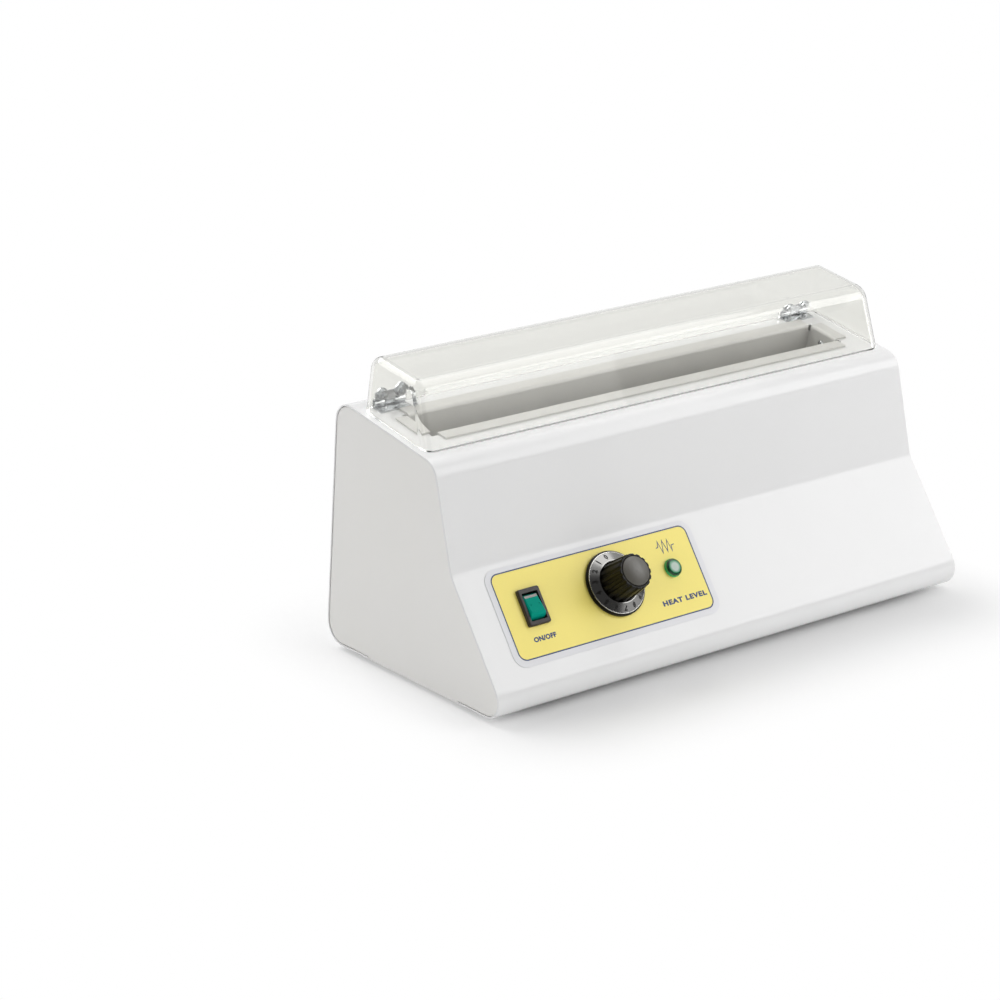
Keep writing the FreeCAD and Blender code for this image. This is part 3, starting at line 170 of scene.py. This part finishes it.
def control_axis(x):
    """A control's axis on the slope, in metres."""
    return Matrix.Translation((PANEL @ Vector((x, CONTROL_T, 0))) * MM) @ PANEL.to_3x3().to_4x4()


def spun_aluminium(name, colour, roughness, anisotropy):
    """Spun aluminium: turning rings round the knob's axis spread each highlight into a sector."""
    # The rings are 0.25 mm apart, a usual feed of the turning tool.
    material, tree, surface, place = start_finish(name, colour, roughness, Metallic=1.0,
                                                  Anisotropic=anisotropy)
    offset, radius = axis_frame(tree, place, control_axis(KNOB_X))
    around = add(tree, "ShaderNodeVectorMath", {0: (0, 0, 1)}, {1: offset}, operation="CROSS_PRODUCT")
    turned = add(tree, "ShaderNodeMapping", {"Rotation": PANEL.to_euler()}, {"Vector": around.outputs[0]},
                 vector_type="VECTOR")
    tangent = add(tree, "ShaderNodeVectorTransform", links={0: turned.outputs[0]}, vector_type="VECTOR",
                  convert_from="OBJECT", convert_to="WORLD")
    rings = add(tree, "ShaderNodeTexNoise", {"Scale": per_mm(0.25), "Detail": 3.0}, {"W": radius},
                noise_dimensions="1D")
    gloss = add(tree, "ShaderNodeMapRange", {"To Min": roughness * 0.8, "To Max": roughness * 1.3},
                {"Value": rings.outputs[0]})
    bump = add(tree, "ShaderNodeBump", {"Strength": 0.2, "Distance": 0.00002}, {"Height": rings.outputs[0]})
    tree.links.new(tangent.outputs[0], surface.inputs["Tangent"])
    tree.links.new(gloss.outputs[0], surface.inputs["Roughness"])
    tree.links.new(bump.outputs[0], surface.inputs["Normal"])
    return material


def bright_metal(name, colour, roughness, cloud_mm):
    """Small metal parts, plated, turned or drawn: gloss that clouds slightly over faint tool marks."""
    # The clouding is 1 to 2 mm wide, as plating, turning and drawing leave it on small parts.
    material, tree, surface, place = start_finish(name, colour, roughness, Metallic=1.0)
    clouds = add(tree, "ShaderNodeTexNoise", {"Scale": per_mm(cloud_mm), "Detail": 4.0}, {"Vector": place})
    gloss = add(tree, "ShaderNodeMapRange", {"To Min": roughness * 0.7, "To Max": roughness * 1.4},
                {"Value": clouds.outputs[0]})
    bump = add(tree, "ShaderNodeBump", {"Strength": 0.15, "Distance": 0.00003}, {"Height": clouds.outputs[0]})
    tree.links.new(gloss.outputs[0], surface.inputs["Roughness"])
    tree.links.new(bump.outputs[0], surface.inputs["Normal"])
    return material


def clear_petg():
    """Thermoformed clear PETG: polished sheet that lamp light, and some of the trapped light, passes."""
    # Stretched over its mould the sheet waves about every 90 mm, which only its gloss shows.
    material, tree, surface, place = start_finish("clear_PETG", "#F4F4F1", 0.02, IOR=1.42,
                                                  Transmission_Weight=1.0)
    waves = add(tree, "ShaderNodeTexNoise", {"Scale": per_mm(90), "Detail": 0.0}, {"Vector": place})
    gloss = add(tree, "ShaderNodeMapRange", {"To Min": 0.01, "To Max": 0.03}, {"Value": waves.outputs[0]})
    paths = add(tree, "ShaderNodeLightPath")
    carried = add(tree, "ShaderNodeMath", links={0: paths.outputs["Is Shadow Ray"],
                                                 1: paths.outputs["Is Diffuse Ray"]}, operation="MAXIMUM")
    start, end = TRAPPED_DEPTH
    trapped = add(tree, "ShaderNodeMapRange", {"From Min": start, "From Max": end, "To Max": TRAPPED_LIGHT},
                  {"Value": paths.outputs["Ray Depth"]})
    passing = add(tree, "ShaderNodeMath", links={0: carried.outputs[0], 1: trapped.outputs[0]},
                  operation="MAXIMUM")
    body = add(tree, "ShaderNodeMapRange", {"To Min": 1.0, "To Max": LID_PASS}, {"Value": passing.outputs[0]})
    tree.links.new(gloss.outputs[0], surface.inputs["Roughness"])
    tree.links.new(body.outputs[0], surface.inputs["Alpha"])
    return material


def moulded(name, colour, roughness, grain_mm=0.5, strength=0.08, **sockets):
    """Moulded plastic, rubber, film and glass, and the grey paint of a painted highlight: one even colour
    under a fine surface grain.
    """
    # Real grain is 0.05 to 0.2 mm; grain_mm draws it coarser, so that it shows.
    material, tree, surface, place = start_finish(name, colour, roughness, **sockets)
    grain = add(tree, "ShaderNodeTexNoise", {"Scale": per_mm(grain_mm), "Detail": 4.0}, {"Vector": place})
    clouds = add(tree, "ShaderNodeTexNoise", {"Scale": per_mm(9), "Detail": 2.0}, {"Vector": place})
    gloss = add(tree, "ShaderNodeMapRange", {"To Min": roughness * 0.8, "To Max": min(1, roughness * 1.25)},
                {"Value": clouds.outputs[0]})
    bump = add(tree, "ShaderNodeBump", {"Strength": strength, "Distance": 0.00004},
               {"Height": grain.outputs[0]})
    tree.links.new(gloss.outputs[0], surface.inputs["Roughness"])
    tree.links.new(bump.outputs[0], surface.inputs["Normal"])
    return material


LENS_SHADING_PER_METRE = 180.0     # the lens's pale crown, painted shade and painted highlight run out to 5.6 mm from its axis


def green_lens():
    """Moulded green styrene: pale frosted crown, a painted shade down the side and a painted highlight at the
    flange.
    """
    # The frosting is finer than 0.1 mm; it is drawn at 0.35 mm so that it shows.
    material, tree, surface, place = start_finish("styrene_green", "#2FAE74", 0.14, IOR=1.55,
                                                  Transmission_Weight=0.35)
    radius = axis_frame(tree, place, control_axis(LAMP_X))[1]
    share = add(tree, "ShaderNodeMath", {1: LENS_SHADING_PER_METRE}, {0: radius}, operation="MULTIPLY")
    lens_shading = add(tree, "ShaderNodeValToRGB", links={"Fac": share.outputs[0]})
    ramp = lens_shading.color_ramp
    # By distance from the axis: pale frosted crown, then painted shade down the side, then a painted
    # highlight on the flange.
    ramp.elements[0].position, ramp.elements[0].color = 0.36, linear("#C6DCD0")
    ramp.elements[1].position, ramp.elements[1].color = 0.885, linear("#38CC7A")
    for position, colour in ((0.52, "#6DB68E"), (0.61, "#2C9A63"), (0.7, "#0D5A39"), (0.866, "#0B4A30")):
        ramp.elements.new(position).color = linear(colour)
    frost = add(tree, "ShaderNodeTexNoise", {"Scale": per_mm(0.35), "Detail": 3.0}, {"Vector": place})
    bump = add(tree, "ShaderNodeBump", {"Strength": 0.08, "Distance": 0.00004}, {"Height": frost.outputs[0]})
    gloss = add(tree, "ShaderNodeMapRange", {"To Min": 0.1, "To Max": 0.2}, {"Value": frost.outputs[0]})
    tree.links.new(lens_shading.outputs[0], surface.inputs["Base Color"])
    tree.links.new(gloss.outputs[0], surface.inputs["Roughness"])
    tree.links.new(bump.outputs[0], surface.inputs["Normal"])
    return material


def printed_ink(name, colour):
    """Screen-printed ink on polyester film: flat colour, slightly uneven in the solid areas."""
    # The screen's mesh is about 0.15 mm; the ink's unevenness is drawn at 0.7 mm so that it shows.
    material, tree, surface, place = start_finish(name, colour, 0.38)
    dots = add(tree, "ShaderNodeTexNoise", {"Scale": per_mm(0.7), "Detail": 3.0}, {"Vector": place})
    shade = add(tree, "ShaderNodeHueSaturation", {"Color": linear(colour)})
    value = add(tree, "ShaderNodeMapRange", {"To Min": 0.975, "To Max": 1.02}, {"Value": dots.outputs[0]})
    tree.links.new(value.outputs[0], shade.inputs["Value"])
    tree.links.new(shade.outputs[0], surface.inputs["Base Color"])
    bump = add(tree, "ShaderNodeBump", {"Strength": 0.05, "Distance": 0.00003}, {"Height": dots.outputs[0]})
    tree.links.new(bump.outputs[0], surface.inputs["Normal"])
    return material


def fibre_board():
    """Ceramic fibre board: matted pale fibres, fully matt."""
    # The fibres mat together in tufts about 6 mm wide.
    material, tree, surface, place = start_finish("ceramic_fibre_board", "#DAD3C2", 0.95)
    fibres = add(tree, "ShaderNodeTexWave", {"Scale": per_mm(6), "Distortion": 12.0, "Detail": 4.0},
                 {"Vector": place})
    tone = add(tree, "ShaderNodeMix", {6: linear("#CFC7B4"), 7: linear("#E4DECF")},
               {0: fibres.outputs["Fac"]}, data_type="RGBA")
    bump = add(tree, "ShaderNodeBump", {"Strength": 0.5, "Distance": 0.0003},
               {"Height": fibres.outputs["Fac"]})
    tree.links.new(tone.outputs[2], surface.inputs["Base Color"])
    tree.links.new(bump.outputs[0], surface.inputs["Normal"])
    return material


PAINT = powder_coated_steel()
ABS = moulded_abs()
ALUMINIUM = blasted_aluminium()
# The skirt's aluminium is darkened to #8F8E8C, a painted shade standing for the dark room its cone mirrors.
DIAL_PAINTED_SHADE = spun_aluminium("spun_aluminium", "#8F8E8C", 0.15, 0.6)
DIAL_EDGE = spun_aluminium("polished_aluminium", "#E9E8E5", 0.22, 0.3)
NICKEL = bright_metal("nickel_plated_steel", "#BCBEC0", 0.2, 2.0)
ZINC = bright_metal("zinc_plated_steel", "#B9BDC0", 0.34, 1.2)
BRASS = bright_metal("turned_brass", "#CDA75B", 0.3, 1.5)
COPPER = bright_metal("drawn_copper", "#C77E5A", 0.32, 1.5)
CLEAR = clear_petg()
GLOSS_BLACK = moulded("phenolic_gloss", "#0B0906", 0.3, 0.6, 0.05, Specular_IOR_Level=0.2)
SATIN_BLACK = moulded("phenolic_satin", "#4B4840", 0.4, 0.4, 0.12, Specular_IOR_Level=1.0)
BEZEL_BLACK = moulded("nylon_black", "#2C2523", 0.4, 0.35, 0.2)
GREEN_ROCKER = moulded("polycarbonate_green", "#009682", 0.34, 0.5, 0.04, Specular_IOR_Level=0.05)
GREEN_LENS = green_lens()
# Grey-white paint for the painted highlight on the rocker's face.
HIGHLIGHT_PAINT = moulded("painted_highlight_grey", "#A39A98", 0.4, 0.5, 0.05)
LABEL_FILM = moulded("polyester_film", "#E2E2E5", 0.3, 0.5, 0.03)
RUBBER = moulded("nitrile_rubber", "#232220", 0.78, 0.5, 0.4)
SILICONE = moulded("silicone_mat", "#A5482C", 0.6, 1.4, 0.4)
CREAM = moulded("polyamide_cream", "#DAD3BC", 0.5, 0.4, 0.15)
WIRE_BROWN = moulded("silicone_sleeve", "#7A3A22", 0.5, 0.8, 0.1)
WIRE_GREEN = moulded("earth_sleeve", "#6FA83A", 0.45, 0.8, 0.1)
GLASS = moulded("lamp_glass", "#DDF5E4", 0.05, 2.0, 0.02, Transmission_Weight=0.9, IOR=1.5)
BOARD = fibre_board()
YELLOW_INK = printed_ink("yellow_ink", "#FEEC7B")
BLUE_INK = printed_ink("blue_ink", "#17396B")
BLACK_INK = printed_ink("black_ink", "#14120F")

FINISHES = {
    PAINT: ["housing_wrap"],
    ABS: ["end_cap_left", "end_cap_right"],
    ALUMINIUM: ["cartridge_trough"],
    ZINC: ["base_plate", "base_screws", "cap_screws", "foot_screws", "trough_support_left",
           "trough_support_right", "bulb_clips", "inlet_screws", "inlet_nuts", "thermostat_screws",
           "knob_set_screw", "pilot_lamp_nut"],
    NICKEL: ["trough_rivets", "hinge_lid_leaf_left", "hinge_lid_leaf_right", "hinge_base_leaf_left",
             "hinge_base_leaf_right", "hinge_pin_left", "hinge_pin_right", "lid_hinge_screws",
             "lid_hinge_nuts", "base_hinge_screws"],
    CLEAR: ["clear_lid"],
    GLOSS_BLACK: ["knob_body"],
    SATIN_BLACK: ["knob_cap", "thermostat_body", "pilot_lamp_holder"],
    BEZEL_BLACK: ["switch_body", "power_inlet"],
    GREEN_ROCKER: ["switch_rocker"],
    GREEN_LENS: ["pilot_lamp_lens"],
    DIAL_PAINTED_SHADE: ["knob_skirt"],
    LABEL_FILM: ["control_label"],
    RUBBER: ["foot_front_left", "foot_front_right", "foot_back_left", "foot_back_right"],
    SILICONE: ["heater_mat_front", "heater_mat_back"],
    BOARD: ["insulation_front", "insulation_back"],
    BRASS: ["thermostat_shaft", "inlet_pins", "switch_terminals", "earth_stud", "earth_nut"],
    COPPER: ["thermostat_bulb", "capillary_tube"],
    CREAM: ["terminal_block", "thermal_cutout"],
    WIRE_BROWN: ["mains_wires", "switch_wires", "lamp_wires", "heater_wires"],
    WIRE_GREEN: ["earth_wire"],
    GLASS: ["pilot_lamp_capsule"],
}
for material, names in FINISHES.items():
    for name in names:
        nodes[name].data.materials.clear()
        nodes[name].data.materials.append(material)

# ---------------------------------------------------------------- mesh helpers


def new_piece(name, shape, body, material, place=Matrix.Identity(4)):
    """Object from a mesh in millimetres, put in place and made to ride on its body."""
    mesh = bpy.data.meshes.new(name)
    shape.transform(Matrix.Scale(MM, 4) @ place)
    bmesh.ops.recalc_face_normals(shape, faces=shape.faces)
    shape.to_mesh(mesh)
    shape.free()
    mesh.materials.append(material)
    piece = bpy.data.objects.new(name, mesh)
    bpy.context.scene.collection.objects.link(piece)
    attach(piece, body)
    return piece


def rounded_rectangle(x0, x1, y0, y1, radius, steps=10):
    """Outline points, anticlockwise, with rounded corners."""
    points = []
    corners = [(x1 - radius, y1 - radius, 0), (x0 + radius, y1 - radius, 90),
               (x0 + radius, y0 + radius, 180), (x1 - radius, y0 + radius, 270)]
    for x, y, start in corners:
        for i in range(steps + 1):
            angle = math.radians(start + 90 * i / steps)
            points.append((x + radius * math.cos(angle), y + radius * math.sin(angle)))
    return points


def slab(outline, bottom, top):
    """Flat solid over an outline."""
    shape = bmesh.new()
    lower = [shape.verts.new((x, y, bottom)) for x, y in outline]
    upper = [shape.verts.new((x, y, top)) for x, y in outline]
    shape.faces.new(lower[::-1])
    shape.faces.new(upper)
    for i in range(len(outline)):
        j = (i + 1) % len(outline)
        shape.faces.new((lower[i], lower[j], upper[j], upper[i]))
    return shape


def solid_outlines(curve, thickness):
    """Mesh of a filled flat curve, given a thickness."""
    curve.extrude = thickness / 2
    curve.resolution_u = 4
    holder = bpy.data.objects.new("outlines", curve)
    mesh = bpy.data.meshes.new_from_object(holder)
    shape = bmesh.new()
    shape.from_mesh(mesh)
    bmesh.ops.remove_doubles(shape, verts=shape.verts, dist=1e-5)
    bpy.data.objects.remove(holder)
    bpy.data.curves.remove(curve)
    bpy.data.meshes.remove(mesh)
    return shape


def words(text, width, height, thickness, boldness, spacing=1.0):
    """Solid letters of a cap height, centred on the origin; a width draws them out, 0 keeps their shape."""
    curve = bpy.data.curves.new("letters", "FONT")
    curve.body = text
    curve.offset = boldness
    curve.space_character = spacing
    shape = solid_outlines(curve, thickness)
    low = [min(v.co[i] for v in shape.verts) for i in (0, 1)]
    high = [max(v.co[i] for v in shape.verts) for i in (0, 1)]
    tall = height / (high[1] - low[1])
    wide = width / (high[0] - low[0]) if width else tall
    for v in shape.verts:
        v.co.x = (v.co.x - (low[0] + high[0]) / 2) * wide
        v.co.y = (v.co.y - (low[1] + high[1]) / 2) * tall
    return shape


def cut_film(outlines, thickness):
    """Thin film inside the first outline, with the other outlines cut out of it."""
    curve = bpy.data.curves.new("film", "CURVE")
    curve.dimensions = "2D"
    curve.fill_mode = "BOTH"
    for outline in outlines:
        line = curve.splines.new("POLY")
        line.points.add(len(outline) - 1)
        for point, (x, y) in zip(line.points, outline):
            point.co = (x, y, 0, 1)
        line.use_cyclic_u = True
    return solid_outlines(curve, thickness)


# ---------------------------------------------------------------- printed label
INK = 0.03
SWITCH_WAY = (6.6, 9.5)                        # half sizes of the ink's cut-outs round the controls
KNOB_WAY = 4.9
LAMP_WAY = 4.0


def way(x, half_width, half_height, corner, steps):
    """Outline of the ink's cut-out round a control."""
    return rounded_rectangle(x - half_width, x + half_width, CONTROL_T - half_height,
                             CONTROL_T + half_height, corner, steps)


ways = [way(SWITCH_X, *SWITCH_WAY, 0.5, 4),
        way(KNOB_X, KNOB_WAY, KNOB_WAY, KNOB_WAY - 0.01, 12),
        way(LAMP_X, LAMP_WAY, LAMP_WAY, LAMP_WAY - 0.01, 12)]
field = rounded_rectangle(*FIELD_X, *FIELD_T, FIELD_CORNER)
inner = rounded_rectangle(FIELD_X[0] + BORDER, FIELD_X[1] - BORDER, FIELD_T[0] + BORDER,
                          FIELD_T[1] - BORDER, FIELD_CORNER - BORDER)
new_piece("label_yellow_field", cut_film([field, *ways], INK), "housing",
          YELLOW_INK, PANEL @ Matrix.Translation((0, 0, LABEL_TOP + 0.5 * INK)))
new_piece("label_blue_border", cut_film([field, inner], INK), "housing", BLUE_INK,
          PANEL @ Matrix.Translation((0, 0, LABEL_TOP + 1.5 * INK)))


def print_words(name, text, x, t, width, height, boldness, spacing):
    """Words in blue ink, centred at (x, t) on the control slope."""
    place = PANEL @ Matrix.Translation((x, t, LABEL_TOP + 1.5 * INK))
    shape = words(text, width, height, INK, boldness, spacing)
    return new_piece(name, shape, "housing", BLUE_INK, place)


print_words("label_words_on_off", "ON/OFF", -123.8, 41.0, 14.7, 2.8, 0.055, 1.08)
print_words("label_words_heat_level", "HEAT LEVEL", -28.3, 40.6, 30.6, 2.9, 0.055, 1.16)

SIGN_LINE = 0.52
HEAT_SIGN = [(-34.10, 70.68), (-32.68, 71.08), (-31.81, 74.16), (-30.53, 67.33), (-28.74, 74.09),
             (-27.17, 67.60), (-25.33, 73.94), (-24.12, 67.22), (-23.69, 70.40), (-21.69, 70.67)]
MITRE_LEAST = 0.25                             # sharpest bend, as the cosine of half its turn
MITRE_MOST = 1.6                               # longest mitre, in line widths


def pen_line(points, width, thickness):
    """Ribbon of even width along a zigzag, with mitred bends."""
    sides = ([], [])
    for i, point in enumerate(points):
        here = Vector(point)
        before = (here - Vector(points[i - 1])).normalized() if i else None
        after = (Vector(points[i + 1]) - here).normalized() if i + 1 < len(points) else None
        before, after = before or after, after or before
        along = (before + after).normalized()
        across = Vector((-along.y, along.x))
        turn = across.dot(Vector((-before.y, before.x)))
        reach = min(width / 2 / max(MITRE_LEAST, turn), width * MITRE_MOST)
        sides[0].append(here + across * reach)
        sides[1].append(here - across * reach)
    return cut_film([[tuple(p) for p in sides[1] + sides[0][::-1]]], thickness)


new_piece("label_heat_sign", pen_line(HEAT_SIGN, SIGN_LINE, INK), "housing", BLUE_INK,
          PANEL @ Matrix.Translation((0, 0, LABEL_TOP + 1.5 * INK)))

# ---------------------------------------------------------------- rocker's painted highlight
ROCKER_PIVOT = -2.0                            # height of the rocker's axis over the slope
ROCKER_REST = math.radians(-13)
ROCKER_RISE = 5.3                              # rocker's face above its axis
HIGHLIGHT_HALF_WIDTH = 4.05
HIGHLIGHT_ENDS = (3.6, 4.98)

ROCKER_AXIS = (PANEL @ Matrix.Translation((SWITCH_X, CONTROL_T, ROCKER_PIVOT))
               @ Matrix.Rotation(ROCKER_REST, 4, "X"))
# A grey-white strip on the rocker's face: a painted highlight standing for the rocker's upper end catching
# light.
highlight_strip = rounded_rectangle(-HIGHLIGHT_HALF_WIDTH, HIGHLIGHT_HALF_WIDTH, *HIGHLIGHT_ENDS, 0.15, 3)
new_piece("rocker_painted_highlight", slab(highlight_strip, ROCKER_RISE - 0.02, ROCKER_RISE + 0.03), "rocker",
          HIGHLIGHT_PAINT, ROCKER_AXIS)

# ---------------------------------------------------------------- dial
KNOB_AXIS = PANEL @ Matrix.Translation((KNOB_X, CONTROL_T, 0))
SKIRT_FOOT = (17.3, 3.1)
SKIRT_HEAD = (12.15, 5.4)
SKIRT_SLOPE = math.atan2(SKIRT_HEAD[1] - SKIRT_FOOT[1], SKIRT_FOOT[0] - SKIRT_HEAD[0])
DIAL_ZERO = -6.0                               # degrees from straight up the slope
DIAL_STEP = 24.0
DIGIT_RADIUS = 14.7
DIGIT_HEIGHT = 3.0
TICK_HALF_WIDTH = 0.13
TICK_SPANS = ((12.5, 13.2), (16.2, 17.1))      # radii of the ticks inside and outside the digits
EDGE_ROUND = 0.3                               # roll of the skirt's bright edge


def on_skirt(angle, radius):
    """Frame on the skirt's cone, Y outwards down the cone; angle clockwise from up the slope."""
    height = SKIRT_FOOT[1] + (SKIRT_FOOT[0] - radius) * math.tan(SKIRT_SLOPE)
    return (KNOB_AXIS @ Matrix.Rotation(-math.radians(angle), 4, "Z")
            @ Matrix.Translation((0, radius, height)) @ Matrix.Rotation(-SKIRT_SLOPE, 4, "X"))


for digit in range(10):
    shape = words(str(digit), 0, DIGIT_HEIGHT, 0.05, 0.06)
    new_piece("dial_number_%d" % digit, shape, "knob", BLACK_INK,
              on_skirt(DIAL_ZERO - digit * DIAL_STEP, DIGIT_RADIUS))
ticks = bmesh.new()
for step in range(10):
    for near, far in TICK_SPANS:
        tick = slab([(-TICK_HALF_WIDTH, near), (TICK_HALF_WIDTH, near), (TICK_HALF_WIDTH, far),
                     (-TICK_HALF_WIDTH, far)], -0.02, 0.03)
        tick.transform(Matrix.Translation((0, -DIGIT_RADIUS, 0)))
        tick.transform(on_skirt(DIAL_ZERO - step * DIAL_STEP, DIGIT_RADIUS))
        mesh = bpy.data.meshes.new("tick")
        tick.to_mesh(mesh)
        tick.free()
        ticks.from_mesh(mesh)
        bpy.data.meshes.remove(mesh)
new_piece("dial_ticks", ticks, "knob", BLACK_INK)


def turned_ring(profile, segments=96):
    """Ring turned from a closed (radius, height) profile."""
    shape = bmesh.new()
    loops = []
    for i in range(segments):
        angle = 2 * math.pi * i / segments
        loops.append([shape.verts.new((r * math.cos(angle), r * math.sin(angle), h)) for r, h in profile])
    for i in range(segments):
        first, second = loops[i], loops[(i + 1) % segments]
        for k in range(len(profile)):
            m = (k + 1) % len(profile)
            shape.faces.new((first[k], second[k], second[m], first[m]))
    for face in shape.faces:
        face.smooth = True
    return shape


EDGE_RADIUS = SKIRT_FOOT[0] + 0.02
EDGE_HEIGHT = 2.95
EDGE_INNER = (16.9, SKIRT_FOOT[1])
bends = [math.radians(15 * k - 30) for k in range(9)]
edge_profile = [(EDGE_RADIUS - EDGE_ROUND * (1 - math.cos(bend)), EDGE_HEIGHT + EDGE_ROUND * math.sin(bend))
                for bend in bends] + [EDGE_INNER]
new_piece("skirt_edge", turned_ring(edge_profile), "knob", DIAL_EDGE, KNOB_AXIS)

# ---------------------------------------------------------------- floor, light and camera
FOOTPRINT = (0.125, 0.076, 0)                  # half sizes of the darkest shadow on the floor
SHADOW_REACH = 0.09                            # the floor fades to white over this distance from it
FLOOR_SIZE = 14
WORLD_FILL = 0.16
BACKDROP_SIDE = (0.15, 0.85, 0.5)              # where gloss mirrors the pale backdrop
BACKDROP_EDGE = (-0.02, 0.3)
ROOM_MIRRORED = 0.12                           # strength of the room away from the backdrop

SEEN_BY = ("Is Camera Ray", "Is Glossy Ray", "Is Transmission Ray")


def seen_rays(tree):
    """1 for the rays that show the background, 0 for the rays that only carry light."""
    paths = add(tree, "ShaderNodeLightPath")
    first = add(tree, "ShaderNodeMath", links={0: paths.outputs[SEEN_BY[0]], 1: paths.outputs[SEEN_BY[1]]},
                operation="MAXIMUM")
    both = add(tree, "ShaderNodeMath", links={0: first.outputs[0], 1: paths.outputs[SEEN_BY[2]]},
               operation="MAXIMUM")
    return both.outputs[0]


floor_material = bpy.data.materials.new("floor")
floor_material.use_nodes = True
tree = floor_material.node_tree
tree.nodes.clear()
seen = seen_rays(tree)
cloth = add(tree, "ShaderNodeBsdfDiffuse", {"Color": linear("#F2F2F2")})
far = add(tree, "ShaderNodeEmission", {"Strength": 1.0})
spot = add(tree, "ShaderNodeTexCoord")
sides = add(tree, "ShaderNodeVectorMath", links={0: spot.outputs["Object"]}, operation="ABSOLUTE")
past = add(tree, "ShaderNodeVectorMath", {1: FOOTPRINT}, {0: sides.outputs[0]}, operation="SUBTRACT")
outside = add(tree, "ShaderNodeVectorMath", {1: (0, 0, 0)}, {0: past.outputs[0]}, operation="MAXIMUM")
away = add(tree, "ShaderNodeVectorMath", links={0: outside.outputs[0]}, operation="LENGTH")
fade = add(tree, "ShaderNodeMapRange", {"From Max": SHADOW_REACH}, {"Value": away.outputs["Value"]},
           interpolation_type="SMOOTHSTEP")
share = add(tree, "ShaderNodeMath", links={0: fade.outputs[0], 1: seen}, operation="MULTIPLY")
ground = add(tree, "ShaderNodeMixShader", links={0: share.outputs[0], 1: cloth.outputs[0], 2: far.outputs[0]})
add(tree, "ShaderNodeOutputMaterial", links={"Surface": ground.outputs[0]})
bpy.ops.mesh.primitive_plane_add(size=FLOOR_SIZE)
floor = bpy.context.object
floor.name = "floor"
floor.data.materials.append(floor_material)

world = bpy.data.worlds.new("studio")
bpy.context.scene.world = world
world.use_nodes = True
tree = world.node_tree
tree.nodes.clear()
paths = add(tree, "ShaderNodeLightPath")
direct = add(tree, "ShaderNodeMath", links={0: paths.outputs["Is Camera Ray"],
                                            1: paths.outputs["Is Transmission Ray"]}, operation="MAXIMUM")
direction = add(tree, "ShaderNodeTexCoord").outputs["Generated"]
back = add(tree, "ShaderNodeVectorMath", {1: BACKDROP_SIDE}, {0: direction}, operation="DOT_PRODUCT")
backdrop = add(tree, "ShaderNodeMapRange", {"From Min": BACKDROP_EDGE[0], "From Max": BACKDROP_EDGE[1],
                                            "To Min": ROOM_MIRRORED, "To Max": 1.0},
               {"Value": back.outputs["Value"]}, interpolation_type="SMOOTHSTEP")
light = add(tree, "ShaderNodeMix", {2: WORLD_FILL},
            {0: paths.outputs["Is Glossy Ray"], 3: backdrop.outputs[0]})
strength = add(tree, "ShaderNodeMix", {3: 1.0}, {0: direct.outputs[0], 2: light.outputs[0]})
sky = add(tree, "ShaderNodeBackground", links={"Strength": strength.outputs[0]})
add(tree, "ShaderNodeOutputWorld", links={"Surface": sky.outputs[0]})


def soft_box(name, place, aim, size, power, mirrored=True):
    """Rectangular studio lamp; mirrored False keeps a fill lamp out of the reflections."""
    lamp = bpy.data.lights.new(name, "AREA")
    lamp.shape = "RECTANGLE"
    lamp.size, lamp.size_y = size
    lamp.energy = power
    holder = bpy.data.objects.new(name, lamp)
    holder.location = place
    holder.rotation_mode = "QUATERNION"
    holder.rotation_quaternion = (Vector(aim) - Vector(place)).to_track_quat("-Z", "Y")
    holder.visible_glossy = mirrored
    bpy.context.scene.collection.objects.link(holder)


soft_box("overhead_right", (0.6, 0.05, 1.25), (0.6, 0.05, 0), (0.85, 1.2), 4.8)
soft_box("front_right", (1.14, -1.04, 1.05), (0, -0.05, 0.06), (1.0, 1.0), 9.4)
soft_box("left_fill", (-1.5, -0.5, 0.7), (0, 0, 0.08), (1.0, 1.0), 6.0, False)
soft_box("back_top", (-0.3, 0.9, 1.1), (0, 0, 0.08), (1.2, 0.8), 15.0, False)
soft_box("front_low", (0.5, -1.7, 0.4), (0, 0, 0.08), (1.4, 0.6), 5.0, False)
soft_box("right_low", (1.7, -0.9, 0.4), (0, 0, 0.08), (1.0, 0.6), 7.5, False)

CAMERA_PLACE = Vector((-1050.3, -1128.1, 608.3)) + NOSE_PLACE
AZIMUTH, PITCH = math.radians(-37.91), math.radians(18.69)
SENSOR, FOCAL_LENGTH = 36.0, 110.42
toward = Vector((math.sin(AZIMUTH) * math.cos(PITCH), -math.cos(AZIMUTH) * math.cos(PITCH), math.sin(PITCH)))
right = Vector((math.cos(AZIMUTH), math.sin(AZIMUTH), 0))
camera_data = bpy.data.cameras.new("camera")
camera_data.sensor_width = SENSOR
camera_data.lens = FOCAL_LENGTH
camera = bpy.data.objects.new("camera", camera_data)
camera.matrix_world = (Matrix.Translation(CAMERA_PLACE * MM)
                       @ Matrix((right, toward.cross(right), toward)).transposed().to_4x4())
bpy.context.scene.collection.objects.link(camera)
bpy.context.scene.camera = camera
bpy.context.scene.view_settings.view_transform = "Standard"
